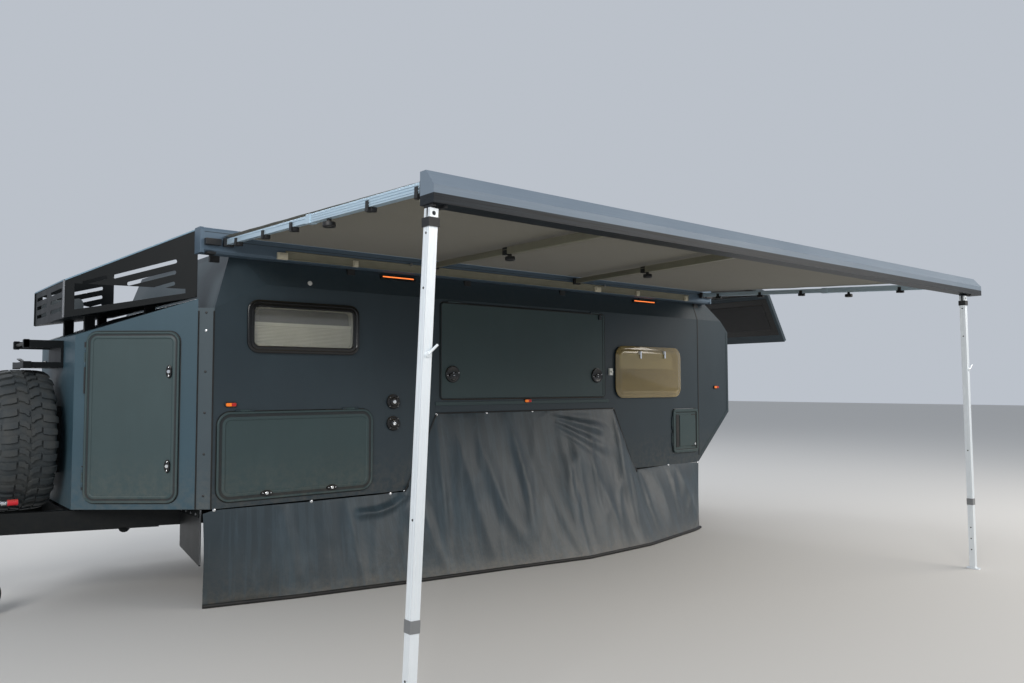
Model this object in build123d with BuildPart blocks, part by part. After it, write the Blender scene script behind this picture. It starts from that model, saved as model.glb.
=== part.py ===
from build123d import *
import math
import os

os.makedirs("parts", exist_ok=True)

# Off-road camper trailer with a faceted cabin, a nose box and a side awning.
# Millimetres. +X points from the tow ball to the rear, +Y to the trailer's right, +Z up.
# The origin is the centre of the tow ball. The near side is the left side, at -Y.


def level(height):
    """Z of a height above the ground."""
    return height - BALL_HEIGHT


BALL_HEIGHT = 520.0
GROUND_Z = level(0.0)

# General clearances
PANEL_GAP = 6.0
FIT_GAP = 0.3

# Hinges of the doors and hatches
HINGE_RADIUS = 6.0
HINGE_LENGTH = 60.0
HINGE_END = 30.0
HINGE_LIFT = 0.5
HINGE_ROOT = 1.0
HINGE_STANDOFF = HINGE_RADIUS + HINGE_LIFT
HINGE_OFFSET = HINGE_RADIUS + HINGE_ROOT

# Cabin, seen from the side
CABIN_FRONT_X = 1950.0
CABIN_HALF_WIDTH = 1050.0
CABIN_BOTTOM_Z = level(600.0)
CORNER_CREASE_Z = level(1820.0)
CREASE_Z = level(1985.0)
CREASE_START_X = 2279.0
ROOF_Z = level(2210.0)
ROOF_INSET = 80.0
FRONT_LEAN = 126.0
WALL = 35.0
FLOOR_THICKNESS = 60.0
HATCH_HINGE_X = 6799.0
REAR_X = 7154.0
REAR_UPPER_Z = level(1878.0)
REAR_LOWER_Z = level(1077.0)
REAR_BOTTOM_X = 6652.0
REAR_SILL_Z = level(663.0)
CHEEK_SEAM_X = 6666.0

# Rear hatch, shown open
HATCH_THICKNESS = 40.0
HATCH_OPEN_DEG = 79.0
HATCH_SIDE_GAP = 15.0
HATCH_PIN_RADIUS = 10.0

# Front corner strips and nose box, seen from above
CORNER_STRIP_X = 1873.0
CORNER_STRIP_HALF_WIDTH = CABIN_HALF_WIDTH - 65.0
CORNER_POST = 90.0
NOSE_FRONT_X = 1300.0
NOSE_FRONT_HALF_WIDTH = 505.0
NOSE_REAR_TOP_Z = level(1875.0)
NOSE_FRONT_TOP_Z = level(1655.0)
NOSE_WALL = 25.0
NOSE_DOOR_START = 74.0
NOSE_DOOR_WIDTH = 569.0
NOSE_DOOR_BOTTOM_Z = level(639.0)
NOSE_DOOR_TOP_Z = level(1674.0)
NOSE_DOOR_RADIUS = 66.0
DOOR_THICKNESS = 28.0
DOOR_PROUD = 8.0

# Tray over the nose box
TRAY_SHEET = 4.0
TRAY_FRONT_X = 1241.0
TRAY_REAR_X = 1866.0
TRAY_FRONT_HALF_WIDTH = NOSE_FRONT_HALF_WIDTH - 45.0
TRAY_REAR_HALF_WIDTH = CORNER_STRIP_HALF_WIDTH - 9.0
TRAY_FRONT_BOTTOM_Z = level(1759.0)
TRAY_REAR_BOTTOM_Z = level(1884.0)
TRAY_FRONT_TOP_Z = level(1996.0)
TRAY_REAR_TOP_Z = level(2307.0)

# Drawbar and chassis
RAIL_HEIGHT = 120.0
RAIL_WIDTH = 60.0
RAIL_TIP_X = 300.0
RAIL_TIP_HALF_Y = 40.0
CHASSIS_END_X = 6560.0
CROSSMEMBER_COUNT = 7
CROSSMEMBER_WIDTH = 50.0
CROSSMEMBER_HEIGHT = 80.0

# Wheels
TYRE_RADIUS = 444.5
TYRE_WIDTH = 318.0
TYRE_BEAD_RADIUS = 216.0
TYRE_CLEARANCE = 32.0
WHEEL_Y = CABIN_HALF_WIDTH - 199.0
WHEEL_INNER_Y = WHEEL_Y - TYRE_WIDTH / 2
AXLE_X = 4530.0
AXLE_SPACING = 1000.0
RIM_WIDTH = 230.0
RIM_WALL = 22.0
HUB_RADIUS = 62.0
STUB_RADIUS = 30.0
ARM_LENGTH = 480.0
ARM_WIDTH = 55.0
ARM_HEIGHT = 90.0
ARM_INNER_Y = WHEEL_INNER_Y - ARM_WIDTH - 37.0
CHASSIS_RAIL_Y = ARM_INNER_Y - 100.0
DRUM_RADIUS = 150.0
SPRING_RADIUS = 48.0

# Wheel arches, seen from the side
ARCH_BOTTOM_FRONT_X = AXLE_X - 1260.0
ARCH_BOTTOM_REAR_X = AXLE_X + 1210.0
ARCH_TOP_FRONT_X = AXLE_X - 940.0
ARCH_TOP_REAR_X = AXLE_X + 940.0
ARCH_TOP_Z = level(1187.0)
ARCH_SHEET = 16.0
ARCH_INNER_Y = WHEEL_INNER_Y - TYRE_CLEARANCE

# Spare wheel
SPARE_CENTRE_X = NOSE_FRONT_X - 209.0
SPARE_CENTRE_Z = level(1005.0)

# Awning
CASE_FRONT_X = 1843.0
CASE_REAR_X = 6820.0
CASE_OUTER_Y = CABIN_HALF_WIDTH + 52.0
CASE_INNER_Y = CASE_OUTER_Y - 104.0
CASE_TOP_Z = level(2301.0)
CASE_HEIGHT = 155.0
AWNING_REACH = 2470.0
LEAD_OUTER_Y = CASE_OUTER_Y + AWNING_REACH
LEAD_DEPTH = 92.0
LEAD_TOP_Z = level(2143.0)
LEAD_HEIGHT = 130.0
FABRIC_THICKNESS = 4.0
FABRIC_CASE_DROP = 45.0
FABRIC_LEAD_DROP = 12.0
RAFTER_WIDTH = 34.0
RAFTER_HEIGHT = 44.0
RAFTER_GAP = 8.0
LEG_SIZE = 38.0
LEG_PIN_RADIUS = 8.0
LEG_DROP = 34.0

# The outline of the cabin's side, in X and Z
CABIN_OUTLINE = [
    (CABIN_FRONT_X, CABIN_BOTTOM_Z),
    (CABIN_FRONT_X, CORNER_CREASE_Z),
    (CABIN_FRONT_X + FRONT_LEAN, ROOF_Z),
    (HATCH_HINGE_X, ROOF_Z),
    (REAR_X, REAR_UPPER_Z),
    (REAR_X, REAR_LOWER_Z),
    (REAR_BOTTOM_X, CABIN_BOTTOM_Z),
]


def unit(dx, dz):
    """The unit vector of a direction in the side view."""
    length = math.hypot(dx, dz)
    return (dx / length, dz / length)


def cabin_block(outline_inset, side_inset):
    """The cabin's outer form, with its outline and its side faces moved inwards."""
    crease = Vector(CREASE_START_X, -CABIN_HALF_WIDTH, CREASE_Z)
    corner = Vector(CABIN_FRONT_X, -CABIN_HALF_WIDTH, CORNER_CREASE_Z)
    top_corner = Vector(CABIN_FRONT_X + FRONT_LEAN, ROOF_INSET - CABIN_HALF_WIDTH, ROOF_Z)
    lean = Vector(0, -(ROOF_Z - CREASE_Z), ROOF_INSET)
    facet = (corner - crease).cross(top_corner - crease)
    if facet.Z < 0:
        facet = facet * -1
    with BuildPart() as block:
        with BuildSketch(Plane.XZ):
            with BuildLine():
                Polyline(CABIN_OUTLINE, close=True)
            make_face()
            if outline_inset:
                offset(amount=-outline_inset, kind=Kind.INTERSECTION, mode=Mode.REPLACE)
        extrude(amount=CABIN_HALF_WIDTH - side_inset, both=True)
        for normal in (lean, facet):
            near = Plane(origin=crease, z_dir=normal).offset(-side_inset)
            far = Plane(
                origin=Vector(crease.X, -crease.Y, crease.Z),
                z_dir=Vector(normal.X, -normal.Y, normal.Z),
            ).offset(-side_inset)
            split(bisect_by=near, keep=Keep.BOTTOM)
            split(bisect_by=far, keep=Keep.BOTTOM)
    return block.part


def flat_panel(plane, start, end, bottom, top, radius, outer, inner):
    """A panel with round corners on a plane, from depth inner to depth outer."""
    with BuildPart() as panel:
        with BuildSketch(plane.offset(inner)):
            with Locations(((start + end) / 2, (bottom + top) / 2)):
                RectangleRounded(end - start, top - bottom, radius)
        extrude(amount=outer - inner)
    return panel.part


def panel_cut(plane, start, end, bottom, top, radius, outer, inner, gap=PANEL_GAP):
    """The hole that such a panel closes, larger by a gap all round."""
    return flat_panel(
        plane, start - gap, end + gap, bottom - gap, top + gap, radius + gap, outer, inner
    )


def arch_block(grow, inner_y):
    """The space of one wheel arch, grown by a sheet thickness, out to the cabin's side."""
    with BuildPart() as block:
        with BuildSketch(Plane.XZ.offset(inner_y)):
            with BuildLine():
                Polyline(
                    (ARCH_BOTTOM_FRONT_X, CABIN_BOTTOM_Z),
                    (ARCH_TOP_FRONT_X, ARCH_TOP_Z),
                    (ARCH_TOP_REAR_X, ARCH_TOP_Z),
                    (ARCH_BOTTOM_REAR_X, CABIN_BOTTOM_Z),
                    close=True,
                )
            make_face()
            if grow:
                offset(amount=grow, kind=Kind.INTERSECTION, mode=Mode.REPLACE)
        extrude(amount=CABIN_HALF_WIDTH + PANEL_GAP - inner_y)
        split(bisect_by=Plane.XY.offset(CABIN_BOTTOM_Z), keep=Keep.TOP)
    return block.part


def pair(part):
    """A near-side piece with its mirror image on the far side."""
    return [part, part.mirror(Plane.XZ)]


def knuckles(origins, axis, outward, radius, standoff, reach, fixed):
    """Hinge knuckles. A fixed pair stands on the body, a moving one between them on the panel.

    Each section's X points outwards and its Y towards the panel, reach away.
    """
    lengths = [(-HINGE_LENGTH / 2 - HINGE_END, HINGE_END), (HINGE_LENGTH / 2, HINGE_END)]
    if not fixed:
        lengths = [(-HINGE_LENGTH / 2 + FIT_GAP, HINGE_LENGTH - 2 * FIT_GAP)]
    leaf = radius + HINGE_ROOT
    with BuildPart() as barrels:
        for origin in origins:
            section = Plane(origin=origin, x_dir=outward, z_dir=axis)
            for start, length in lengths:
                with BuildSketch(section.offset(start)):
                    Circle(radius)
                    if fixed:
                        with Locations((-(standoff + HINGE_ROOT) / 2, -leaf / 2)):
                            Rectangle(standoff + HINGE_ROOT, leaf)
                    else:
                        root = reach + 2 * HINGE_ROOT
                        with Locations(((DOOR_PROUD - standoff - radius) / 2, root / 2)):
                            Rectangle(DOOR_PROUD - standoff + radius, root)
                extrude(amount=length)
    return barrels.part


def top_hinge(panel, fixed):
    """The knuckles along a near-side hatch's top edge."""
    start, end, bottom, top, radius = panel
    y = -CABIN_HALF_WIDTH - HINGE_STANDOFF
    inset = radius + HINGE_LENGTH + HINGE_END
    origins = [(x, y, top + HINGE_OFFSET) for x in (start + inset, end - inset)]
    return knuckles(
        origins, (1, 0, 0), (0, -1, 0), HINGE_RADIUS, HINGE_STANDOFF, HINGE_OFFSET, fixed
    )


def edge_hinge(plane, face, panel, fixed):
    """The knuckles along a panel's starting upright edge, on a plane."""
    start, end, bottom, top, radius = panel
    inset = radius + HINGE_LENGTH + HINGE_END
    origins = [
        plane.from_local_coords(Vector(start - HINGE_OFFSET, v, face + HINGE_STANDOFF))
        for v in (bottom + inset, top - inset)
    ]
    return knuckles(
        origins, (0, 0, 1), plane.z_dir, HINGE_RADIUS, HINGE_STANDOFF, HINGE_OFFSET, fixed
    )


outer_block = cabin_block(0, 0)
core_block = cabin_block(0, WALL)
wide_core = cabin_block(-WALL, WALL)
inner_block = cabin_block(WALL, 0)

# The rear hatch's ends are square to its first and last faces.
hatch_start = unit(REAR_X - HATCH_HINGE_X, REAR_UPPER_Z - ROOF_Z)
hatch_end = unit(REAR_X - REAR_BOTTOM_X, REAR_LOWER_Z - CABIN_BOTTOM_Z)
REAR_SILL_X = REAR_BOTTOM_X + (REAR_SILL_Z - CABIN_BOTTOM_Z) * hatch_end[0] / hatch_end[1]
hatch_start_plane = Plane(
    origin=(HATCH_HINGE_X, 0, ROOF_Z), z_dir=(hatch_start[0], 0, hatch_start[1])
)
hatch_end_plane = Plane(
    origin=(REAR_SILL_X, 0, REAR_SILL_Z), z_dir=(hatch_end[0], 0, hatch_end[1])
)

# Panels in the near side wall: start X, end X, bottom Z, top Z, corner radius
STORAGE = (1975.0, 3051.0, level(635.0), level(1183.0), 83.0)
KITCHEN = (3617.0, 5361.0, level(1241.0), level(1962.0), 30.0)
SERVICE = (6269.0, 6645.0, level(705.0), level(1118.0), 40.0)
FRONT_WINDOW = (2155.0, 2935.0, level(1552.0), level(1886.0), 70.0)
REAR_WINDOW = (5487.0, 6375.0, level(1235.0), level(1690.0), 95.0)
GALLEY_WINDOW = (3900.0, 5060.0, level(1400.0), level(1850.0), 95.0)
WINDOW_LAP = 30.0
WINDOW_PROUD = 14.0
SIDE = Plane.XZ
OUTSIDE = CABIN_HALF_WIDTH + 2 * DOOR_PROUD
INSIDE = CABIN_HALF_WIDTH - WALL - 2 * DOOR_PROUD

arch_hole = arch_block(0, INSIDE)
storage_hole = panel_cut(SIDE, *STORAGE, OUTSIDE, INSIDE)
kitchen_hole = panel_cut(SIDE, *KITCHEN, OUTSIDE, INSIDE)
service_hole = panel_cut(SIDE, *SERVICE, OUTSIDE, INSIDE)
front_window_hole = panel_cut(SIDE, *FRONT_WINDOW, OUTSIDE, INSIDE, -WINDOW_LAP)
rear_window_hole = panel_cut(SIDE, *REAR_WINDOW, OUTSIDE, INSIDE, -WINDOW_LAP)
galley_window_hole = panel_cut(SIDE, *GALLEY_WINDOW, OUTSIDE, INSIDE, -WINDOW_LAP)

near_holes = [
    arch_hole, storage_hole, kitchen_hole, service_hole, front_window_hole, rear_window_hole,
]
far_holes = [arch_hole, storage_hole, front_window_hole, rear_window_hole, galley_window_hole]

# Cabin walls
with BuildPart() as cabin_wall_near:
    add(outer_block)
    add(wide_core, mode=Mode.SUBTRACT)
    split(bisect_by=Plane.XZ, keep=Keep.TOP)
    split(bisect_by=Plane.YZ.offset(CHEEK_SEAM_X), keep=Keep.BOTTOM)
    add(near_holes, mode=Mode.SUBTRACT)
    add(top_hinge(STORAGE, True))
    add(top_hinge(KITCHEN, True))
    add(edge_hinge(SIDE, CABIN_HALF_WIDTH, SERVICE, True))
cabin_wall_near.part.label = "cabin_wall_near"
export_step(cabin_wall_near.part, "parts/cabin_wall_near.step")

with BuildPart() as cabin_wall_far:
    add(outer_block)
    add(wide_core, mode=Mode.SUBTRACT)
    split(bisect_by=Plane.XZ, keep=Keep.TOP)
    split(bisect_by=Plane.YZ.offset(CHEEK_SEAM_X), keep=Keep.BOTTOM)
    add(far_holes, mode=Mode.SUBTRACT)
    add(top_hinge(STORAGE, True))
    mirror(about=Plane.XZ, mode=Mode.REPLACE)
cabin_wall_far.part.label = "cabin_wall_far"
export_step(cabin_wall_far.part, "parts/cabin_wall_far.step")

with BuildPart() as rear_cheeks:
    add(outer_block)
    add(wide_core, mode=Mode.SUBTRACT)
    split(bisect_by=Plane.YZ.offset(CHEEK_SEAM_X), keep=Keep.TOP)
rear_cheeks.part.label = "rear_cheeks"
export_step(rear_cheeks.part, "parts/rear_cheeks.step")

# The rear hatch's hinge line lies on the roof, just ahead of the hatch.
hatch_pin_z = ROOF_Z + HATCH_PIN_RADIUS + HINGE_LIFT
HATCH_KNUCKLE_Y = (-600.0, 0.0, 600.0)
hatch_pins = [(HATCH_HINGE_X, y, hatch_pin_z) for y in HATCH_KNUCKLE_Y]

with BuildPart() as cabin_roof:
    add(core_block)
    split(bisect_by=Plane.XY.offset(ROOF_Z - WALL), keep=Keep.TOP)
    split(bisect_by=hatch_start_plane.offset(-PANEL_GAP), keep=Keep.BOTTOM)
    for x, y, z in hatch_pins:
        for start in (-HINGE_LENGTH / 2 - HINGE_END, HINGE_LENGTH / 2):
            with BuildSketch(Plane.XZ.offset(-y + start)):
                with Locations((x, z)):
                    Circle(HATCH_PIN_RADIUS)
                with Locations((x - PANEL_GAP - HATCH_PIN_RADIUS, (z + ROOF_Z) / 2 - HINGE_ROOT)):
                    Rectangle(2 * HATCH_PIN_RADIUS, z - ROOF_Z + 2 * HINGE_ROOT)
            extrude(amount=HINGE_END)
cabin_roof.part.label = "cabin_roof"
export_step(cabin_roof.part, "parts/cabin_roof.step")

with BuildPart() as cabin_floor:
    add(core_block)
    split(bisect_by=Plane.XY.offset(CABIN_BOTTOM_Z + FLOOR_THICKNESS), keep=Keep.BOTTOM)
    split(bisect_by=hatch_end_plane.offset(-PANEL_GAP), keep=Keep.BOTTOM)
    add(pair(arch_block(ARCH_SHEET, ARCH_INNER_Y - ARCH_SHEET)), mode=Mode.SUBTRACT)
cabin_floor.part.label = "cabin_floor"
export_step(cabin_floor.part, "parts/cabin_floor.step")

with BuildPart() as wheel_arches:
    for side in (1, -1):
        with BuildSketch(Plane.XZ.offset(side * (CABIN_HALF_WIDTH - WALL))):
            with BuildLine():
                Polyline(
                    (ARCH_BOTTOM_FRONT_X, CABIN_BOTTOM_Z),
                    (ARCH_TOP_FRONT_X, ARCH_TOP_Z),
                    (ARCH_TOP_REAR_X, ARCH_TOP_Z),
                    (ARCH_BOTTOM_REAR_X, CABIN_BOTTOM_Z),
                    close=True,
                )
            make_face()
            offset(amount=ARCH_SHEET, kind=Kind.INTERSECTION, mode=Mode.REPLACE)
        extrude(amount=-side * (CABIN_HALF_WIDTH - WALL - ARCH_INNER_Y + ARCH_SHEET))
    add(pair(arch_block(0, ARCH_INNER_Y)), mode=Mode.SUBTRACT)
    split(bisect_by=Plane.XY.offset(CABIN_BOTTOM_Z), keep=Keep.TOP)
wheel_arches.part.label = "wheel_arches"
export_step(wheel_arches.part, "parts/wheel_arches.step")

# Front wall with the slanted corner strips that the nose box continues
with BuildPart() as cabin_front:
    add(core_block)
    add(inner_block, mode=Mode.SUBTRACT)
    split(bisect_by=Plane.XY.offset(ROOF_Z - WALL), keep=Keep.BOTTOM)
    split(bisect_by=Plane.XY.offset(CABIN_BOTTOM_Z + FLOOR_THICKNESS), keep=Keep.TOP)
    split(bisect_by=Plane.YZ.offset(CREASE_START_X), keep=Keep.BOTTOM)
    with BuildSketch(Plane.XY.offset(CABIN_BOTTOM_Z)):
        with BuildLine():
            Polyline(
                (CORNER_STRIP_X, -CORNER_STRIP_HALF_WIDTH),
                (CABIN_FRONT_X, -CABIN_HALF_WIDTH),
                (CABIN_FRONT_X, CABIN_HALF_WIDTH),
                (CORNER_STRIP_X, CORNER_STRIP_HALF_WIDTH),
                close=True,
            )
        make_face()
    extrude(amount=CORNER_CREASE_Z - CABIN_BOTTOM_Z)
    with BuildSketch(Plane.YZ.offset(CORNER_STRIP_X)):
        with Locations((0, (CABIN_BOTTOM_Z + CORNER_CREASE_Z) / 2)):
            Rectangle(
                2 * (CORNER_STRIP_HALF_WIDTH - CORNER_POST),
                CORNER_CREASE_Z - CABIN_BOTTOM_Z - 2 * CORNER_POST,
            )
    extrude(amount=CABIN_FRONT_X - CORNER_STRIP_X, mode=Mode.SUBTRACT)
cabin_front.part.label = "cabin_front"
export_step(cabin_front.part, "parts/cabin_front.step")

# Rear hatch, made closed and then turned up about its hinge line
with BuildPart() as rear_hatch:
    add(cabin_block(0, WALL + HATCH_SIDE_GAP))
    add(cabin_block(HATCH_THICKNESS, 0), mode=Mode.SUBTRACT)
    split(bisect_by=hatch_start_plane, keep=Keep.TOP)
    split(bisect_by=hatch_end_plane, keep=Keep.TOP)
    for x, y, z in hatch_pins:
        with BuildSketch(Plane.XZ.offset(-y - HINGE_LENGTH / 2 + FIT_GAP)):
            with Locations((x, z)):
                Circle(HATCH_PIN_RADIUS)
            with BuildLine():
                Polyline(
                    (x, z),
                    (x + HATCH_PIN_RADIUS / 2, z),
                    (x + 3 * HATCH_PIN_RADIUS, z - 4 * HATCH_PIN_RADIUS),
                    (x + HATCH_PIN_RADIUS / 2, ROOF_Z - HATCH_PIN_RADIUS),
                    (x, ROOF_Z - HINGE_ROOT),
                    close=True,
                )
            make_face()
        extrude(amount=HINGE_LENGTH - 2 * FIT_GAP)
hatch_axis = Axis((HATCH_HINGE_X, 0, hatch_pin_z), (0, -1, 0))
rear_hatch.part = rear_hatch.part.rotate(hatch_axis, HATCH_OPEN_DEG)
rear_hatch.part.label = "rear_hatch"
export_step(rear_hatch.part, "parts/rear_hatch.step")

# Hatches in the near wall, each a panel in its hole
PANEL_OUTER = CABIN_HALF_WIDTH + DOOR_PROUD
PANEL_INNER = PANEL_OUTER - DOOR_THICKNESS
LATCH_RISE = 12.0
LATCH_LENGTH = 76.0
LATCH_WIDTH = 34.0
STORAGE_LATCH_X = (2290.0, 2740.0)
STORAGE_LATCH_Z = STORAGE[2] + 37.0
LOCK_RADIUS = 60.0
KITCHEN_LOCK_X = (3722.0, 5251.0)
KITCHEN_LOCK_Z = level(1428.0)

with BuildPart() as storage_hatch_near:
    add(flat_panel(SIDE, *STORAGE, PANEL_OUTER, PANEL_INNER))
    with BuildSketch(SIDE.offset(PANEL_OUTER)):
        with Locations(*[(x, STORAGE_LATCH_Z) for x in STORAGE_LATCH_X]):
            Ellipse(LATCH_LENGTH / 2, LATCH_WIDTH / 2)
    extrude(amount=LATCH_RISE)
    add(top_hinge(STORAGE, False))
storage_hatch_near.part.label = "storage_hatch_near"
export_step(storage_hatch_near.part, "parts/storage_hatch_near.step")

with BuildPart() as storage_hatch_far:
    add(storage_hatch_near.part)
    mirror(about=Plane.XZ, mode=Mode.REPLACE)
storage_hatch_far.part.label = "storage_hatch_far"
export_step(storage_hatch_far.part, "parts/storage_hatch_far.step")

with BuildPart() as kitchen_hatch:
    add(flat_panel(SIDE, *KITCHEN, PANEL_OUTER, PANEL_INNER))
    with BuildSketch(SIDE.offset(PANEL_OUTER)):
        with Locations(*[(x, KITCHEN_LOCK_Z) for x in KITCHEN_LOCK_X]):
            Circle(LOCK_RADIUS)
    extrude(amount=LATCH_RISE)
    add(top_hinge(KITCHEN, False))
kitchen_hatch.part.label = "kitchen_hatch"
export_step(kitchen_hatch.part, "parts/kitchen_hatch.step")

with BuildPart() as service_hatch:
    add(flat_panel(SIDE, *SERVICE, PANEL_OUTER, PANEL_INNER))
    add(edge_hinge(SIDE, CABIN_HALF_WIDTH, SERVICE, False))
service_hatch.part.label = "service_hatch"
export_step(service_hatch.part, "parts/service_hatch.step")

# Windows: a frame that laps onto the wall, and the pane inside it
FRAME_WIDTH = 42.0
PANE_DEPTH = 16.0
near_windows = [FRONT_WINDOW, REAR_WINDOW]
far_windows = [FRONT_WINDOW, REAR_WINDOW, GALLEY_WINDOW]


def window_frame(start, end, bottom, top, radius):
    """One window's outer ring on the near wall."""
    face = CABIN_HALF_WIDTH
    ring = flat_panel(SIDE, start, end, bottom, top, radius, face + WINDOW_PROUD, face)
    hole = panel_cut(
        SIDE, start, end, bottom, top, radius, face + 2 * WINDOW_PROUD, face - WINDOW_PROUD,
        -FRAME_WIDTH,
    )
    return ring - hole


def window_pane(start, end, bottom, top, radius):
    """One window's pane, inside its ring."""
    outer = CABIN_HALF_WIDTH + WINDOW_PROUD - PANEL_GAP
    return panel_cut(
        SIDE, start, end, bottom, top, radius, outer, outer - PANE_DEPTH,
        -FRAME_WIDTH - FIT_GAP,
    )


with BuildPart() as window_frames:
    add([window_frame(*row) for row in near_windows])
    add([window_frame(*row).mirror(Plane.XZ) for row in far_windows])
window_frames.part.label = "window_frames"
export_step(window_frames.part, "parts/window_frames.step")

with BuildPart() as window_panes:
    add([window_pane(*row) for row in near_windows])
    add([window_pane(*row).mirror(Plane.XZ) for row in far_windows])
window_panes.part.label = "window_panes"
export_step(window_panes.part, "parts/window_panes.step")

# Nose box: slanted sides from the corner strips to a narrow front
NOSE_RUN = CORNER_STRIP_X - NOSE_FRONT_X
NOSE_SPREAD = CORNER_STRIP_HALF_WIDTH - NOSE_FRONT_HALF_WIDTH
nose_side = Plane(
    origin=(NOSE_FRONT_X, -NOSE_FRONT_HALF_WIDTH, 0),
    x_dir=(NOSE_RUN, -NOSE_SPREAD, 0),
    z_dir=(-NOSE_SPREAD, -NOSE_RUN, 0),
)


def nose_block(inset, extend):
    """The nose box's outer form moved inwards, with its rear face moved back."""
    rear_half_width = CORNER_STRIP_HALF_WIDTH + extend * NOSE_SPREAD / NOSE_RUN
    slope = Vector(NOSE_FRONT_TOP_Z - NOSE_REAR_TOP_Z, 0, NOSE_RUN)
    with BuildPart() as block:
        with BuildSketch(Plane.XY.offset(CABIN_BOTTOM_Z + inset)):
            with BuildLine():
                Polyline(
                    (NOSE_FRONT_X, -NOSE_FRONT_HALF_WIDTH),
                    (CORNER_STRIP_X + extend, -rear_half_width),
                    (CORNER_STRIP_X + extend, rear_half_width),
                    (NOSE_FRONT_X, NOSE_FRONT_HALF_WIDTH),
                    close=True,
                )
            make_face()
            if inset:
                offset(amount=-inset, kind=Kind.INTERSECTION, mode=Mode.REPLACE)
        extrude(amount=2 * (NOSE_REAR_TOP_Z - CABIN_BOTTOM_Z))
        top = Plane(origin=(NOSE_FRONT_X, 0, NOSE_FRONT_TOP_Z), z_dir=slope)
        split(bisect_by=top.offset(-inset), keep=Keep.BOTTOM)
    return block.part


NOSE_DOOR = (
    NOSE_DOOR_START,
    NOSE_DOOR_START + NOSE_DOOR_WIDTH,
    NOSE_DOOR_BOTTOM_Z,
    NOSE_DOOR_TOP_Z,
    NOSE_DOOR_RADIUS,
)
NOSE_LATCH_Z = (level(860.0), level(1430.0))
NOSE_LATCH_INSET = 60.0
nose_door_hole = panel_cut(nose_side, *NOSE_DOOR, NOSE_WALL, -2 * NOSE_WALL)

with BuildPart() as nose_box:
    add(nose_block(0, 0))
    add(nose_block(NOSE_WALL, 3 * NOSE_WALL), mode=Mode.SUBTRACT)
    add(pair(nose_door_hole), mode=Mode.SUBTRACT)
    add(pair(edge_hinge(nose_side, 0, NOSE_DOOR, True)))
nose_box.part.label = "nose_box"
export_step(nose_box.part, "parts/nose_box.step")

with BuildPart() as nose_door_near:
    add(flat_panel(nose_side, *NOSE_DOOR, DOOR_PROUD, DOOR_PROUD - DOOR_THICKNESS))
    with BuildSketch(nose_side.offset(DOOR_PROUD)):
        latch_u = NOSE_DOOR_START + NOSE_DOOR_WIDTH - NOSE_LATCH_INSET
        with Locations(*[(latch_u, z) for z in NOSE_LATCH_Z]):
            Ellipse(LATCH_WIDTH / 2, LATCH_LENGTH / 2)
    extrude(amount=LATCH_RISE)
    add(edge_hinge(nose_side, 0, NOSE_DOOR, False))
nose_door_near.part.label = "nose_door_near"
export_step(nose_door_near.part, "parts/nose_door_near.step")

with BuildPart() as nose_door_far:
    add(nose_door_near.part)
    mirror(about=Plane.XZ, mode=Mode.REPLACE)
nose_door_far.part.label = "nose_door_far"
export_step(nose_door_far.part, "parts/nose_door_far.step")

# Tray over the nose box: a floor, slotted side panels and a slotted front
TRAY_RUN = TRAY_REAR_X - TRAY_FRONT_X
TRAY_SPREAD = TRAY_REAR_HALF_WIDTH - TRAY_FRONT_HALF_WIDTH
TRAY_SIDE_LENGTH = math.hypot(TRAY_RUN, TRAY_SPREAD)
TRAY_POST = 62.0
TRAY_SILL = 26.0
TRAY_REAR_POST = 70.0
TRAY_SLOT = 24.0
# Slots in the side panel: start, end along the side, height at the start, rise
TRAY_SLOTS = [
    (296.0, 685.0, level(2010.0), 98.0),
    (383.0, 681.0, level(1966.0), 74.0),
    (548.0, 676.0, level(1935.0), 37.0),
    (110.0, 260.0, level(1972.0), 38.0),
]
TRAY_FRONT_SLOT_ROWS = 3
TRAY_FRONT_SLOT_LENGTH = 330.0
# Risers under the tray: distance behind the nose box's front, distance from the centreline
TRAY_RISERS = [(120.0, 300.0), (400.0, 600.0)]
TRAY_RISER_LENGTH = 60.0
TRAY_RISER_WIDTH = 40.0
tray_side = Plane(
    origin=(TRAY_FRONT_X, -TRAY_FRONT_HALF_WIDTH, 0),
    x_dir=(TRAY_RUN, -TRAY_SPREAD, 0),
    z_dir=(-TRAY_SPREAD, -TRAY_RUN, 0),
)

with BuildPart() as tray_panel:
    with BuildSketch(tray_side):
        with BuildLine():
            Polyline(
                (0, TRAY_FRONT_BOTTOM_Z),
                (TRAY_SIDE_LENGTH, TRAY_REAR_BOTTOM_Z),
                (TRAY_SIDE_LENGTH, TRAY_REAR_TOP_Z),
                (0, TRAY_FRONT_TOP_Z),
                close=True,
            )
        make_face()
        with BuildLine():
            Polyline(
                (TRAY_POST, TRAY_FRONT_BOTTOM_Z + 2 * TRAY_SILL),
                (TRAY_SIDE_LENGTH - TRAY_REAR_POST, TRAY_REAR_BOTTOM_Z + TRAY_SILL),
                (TRAY_SIDE_LENGTH - TRAY_REAR_POST, TRAY_REAR_BOTTOM_Z + 2 * TRAY_SILL),
                (TRAY_POST, TRAY_FRONT_TOP_Z - TRAY_SLOT),
                close=True,
            )
        make_face(mode=Mode.SUBTRACT)
        for start, end, height, rise in TRAY_SLOTS:
            with Locations(((start + end) / 2, height + rise / 2)):
                SlotOverall(
                    math.hypot(end - start, rise),
                    TRAY_SLOT,
                    rotation=math.degrees(math.atan2(rise, end - start)),
                    mode=Mode.SUBTRACT,
                )
    extrude(amount=-TRAY_SHEET)

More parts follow.
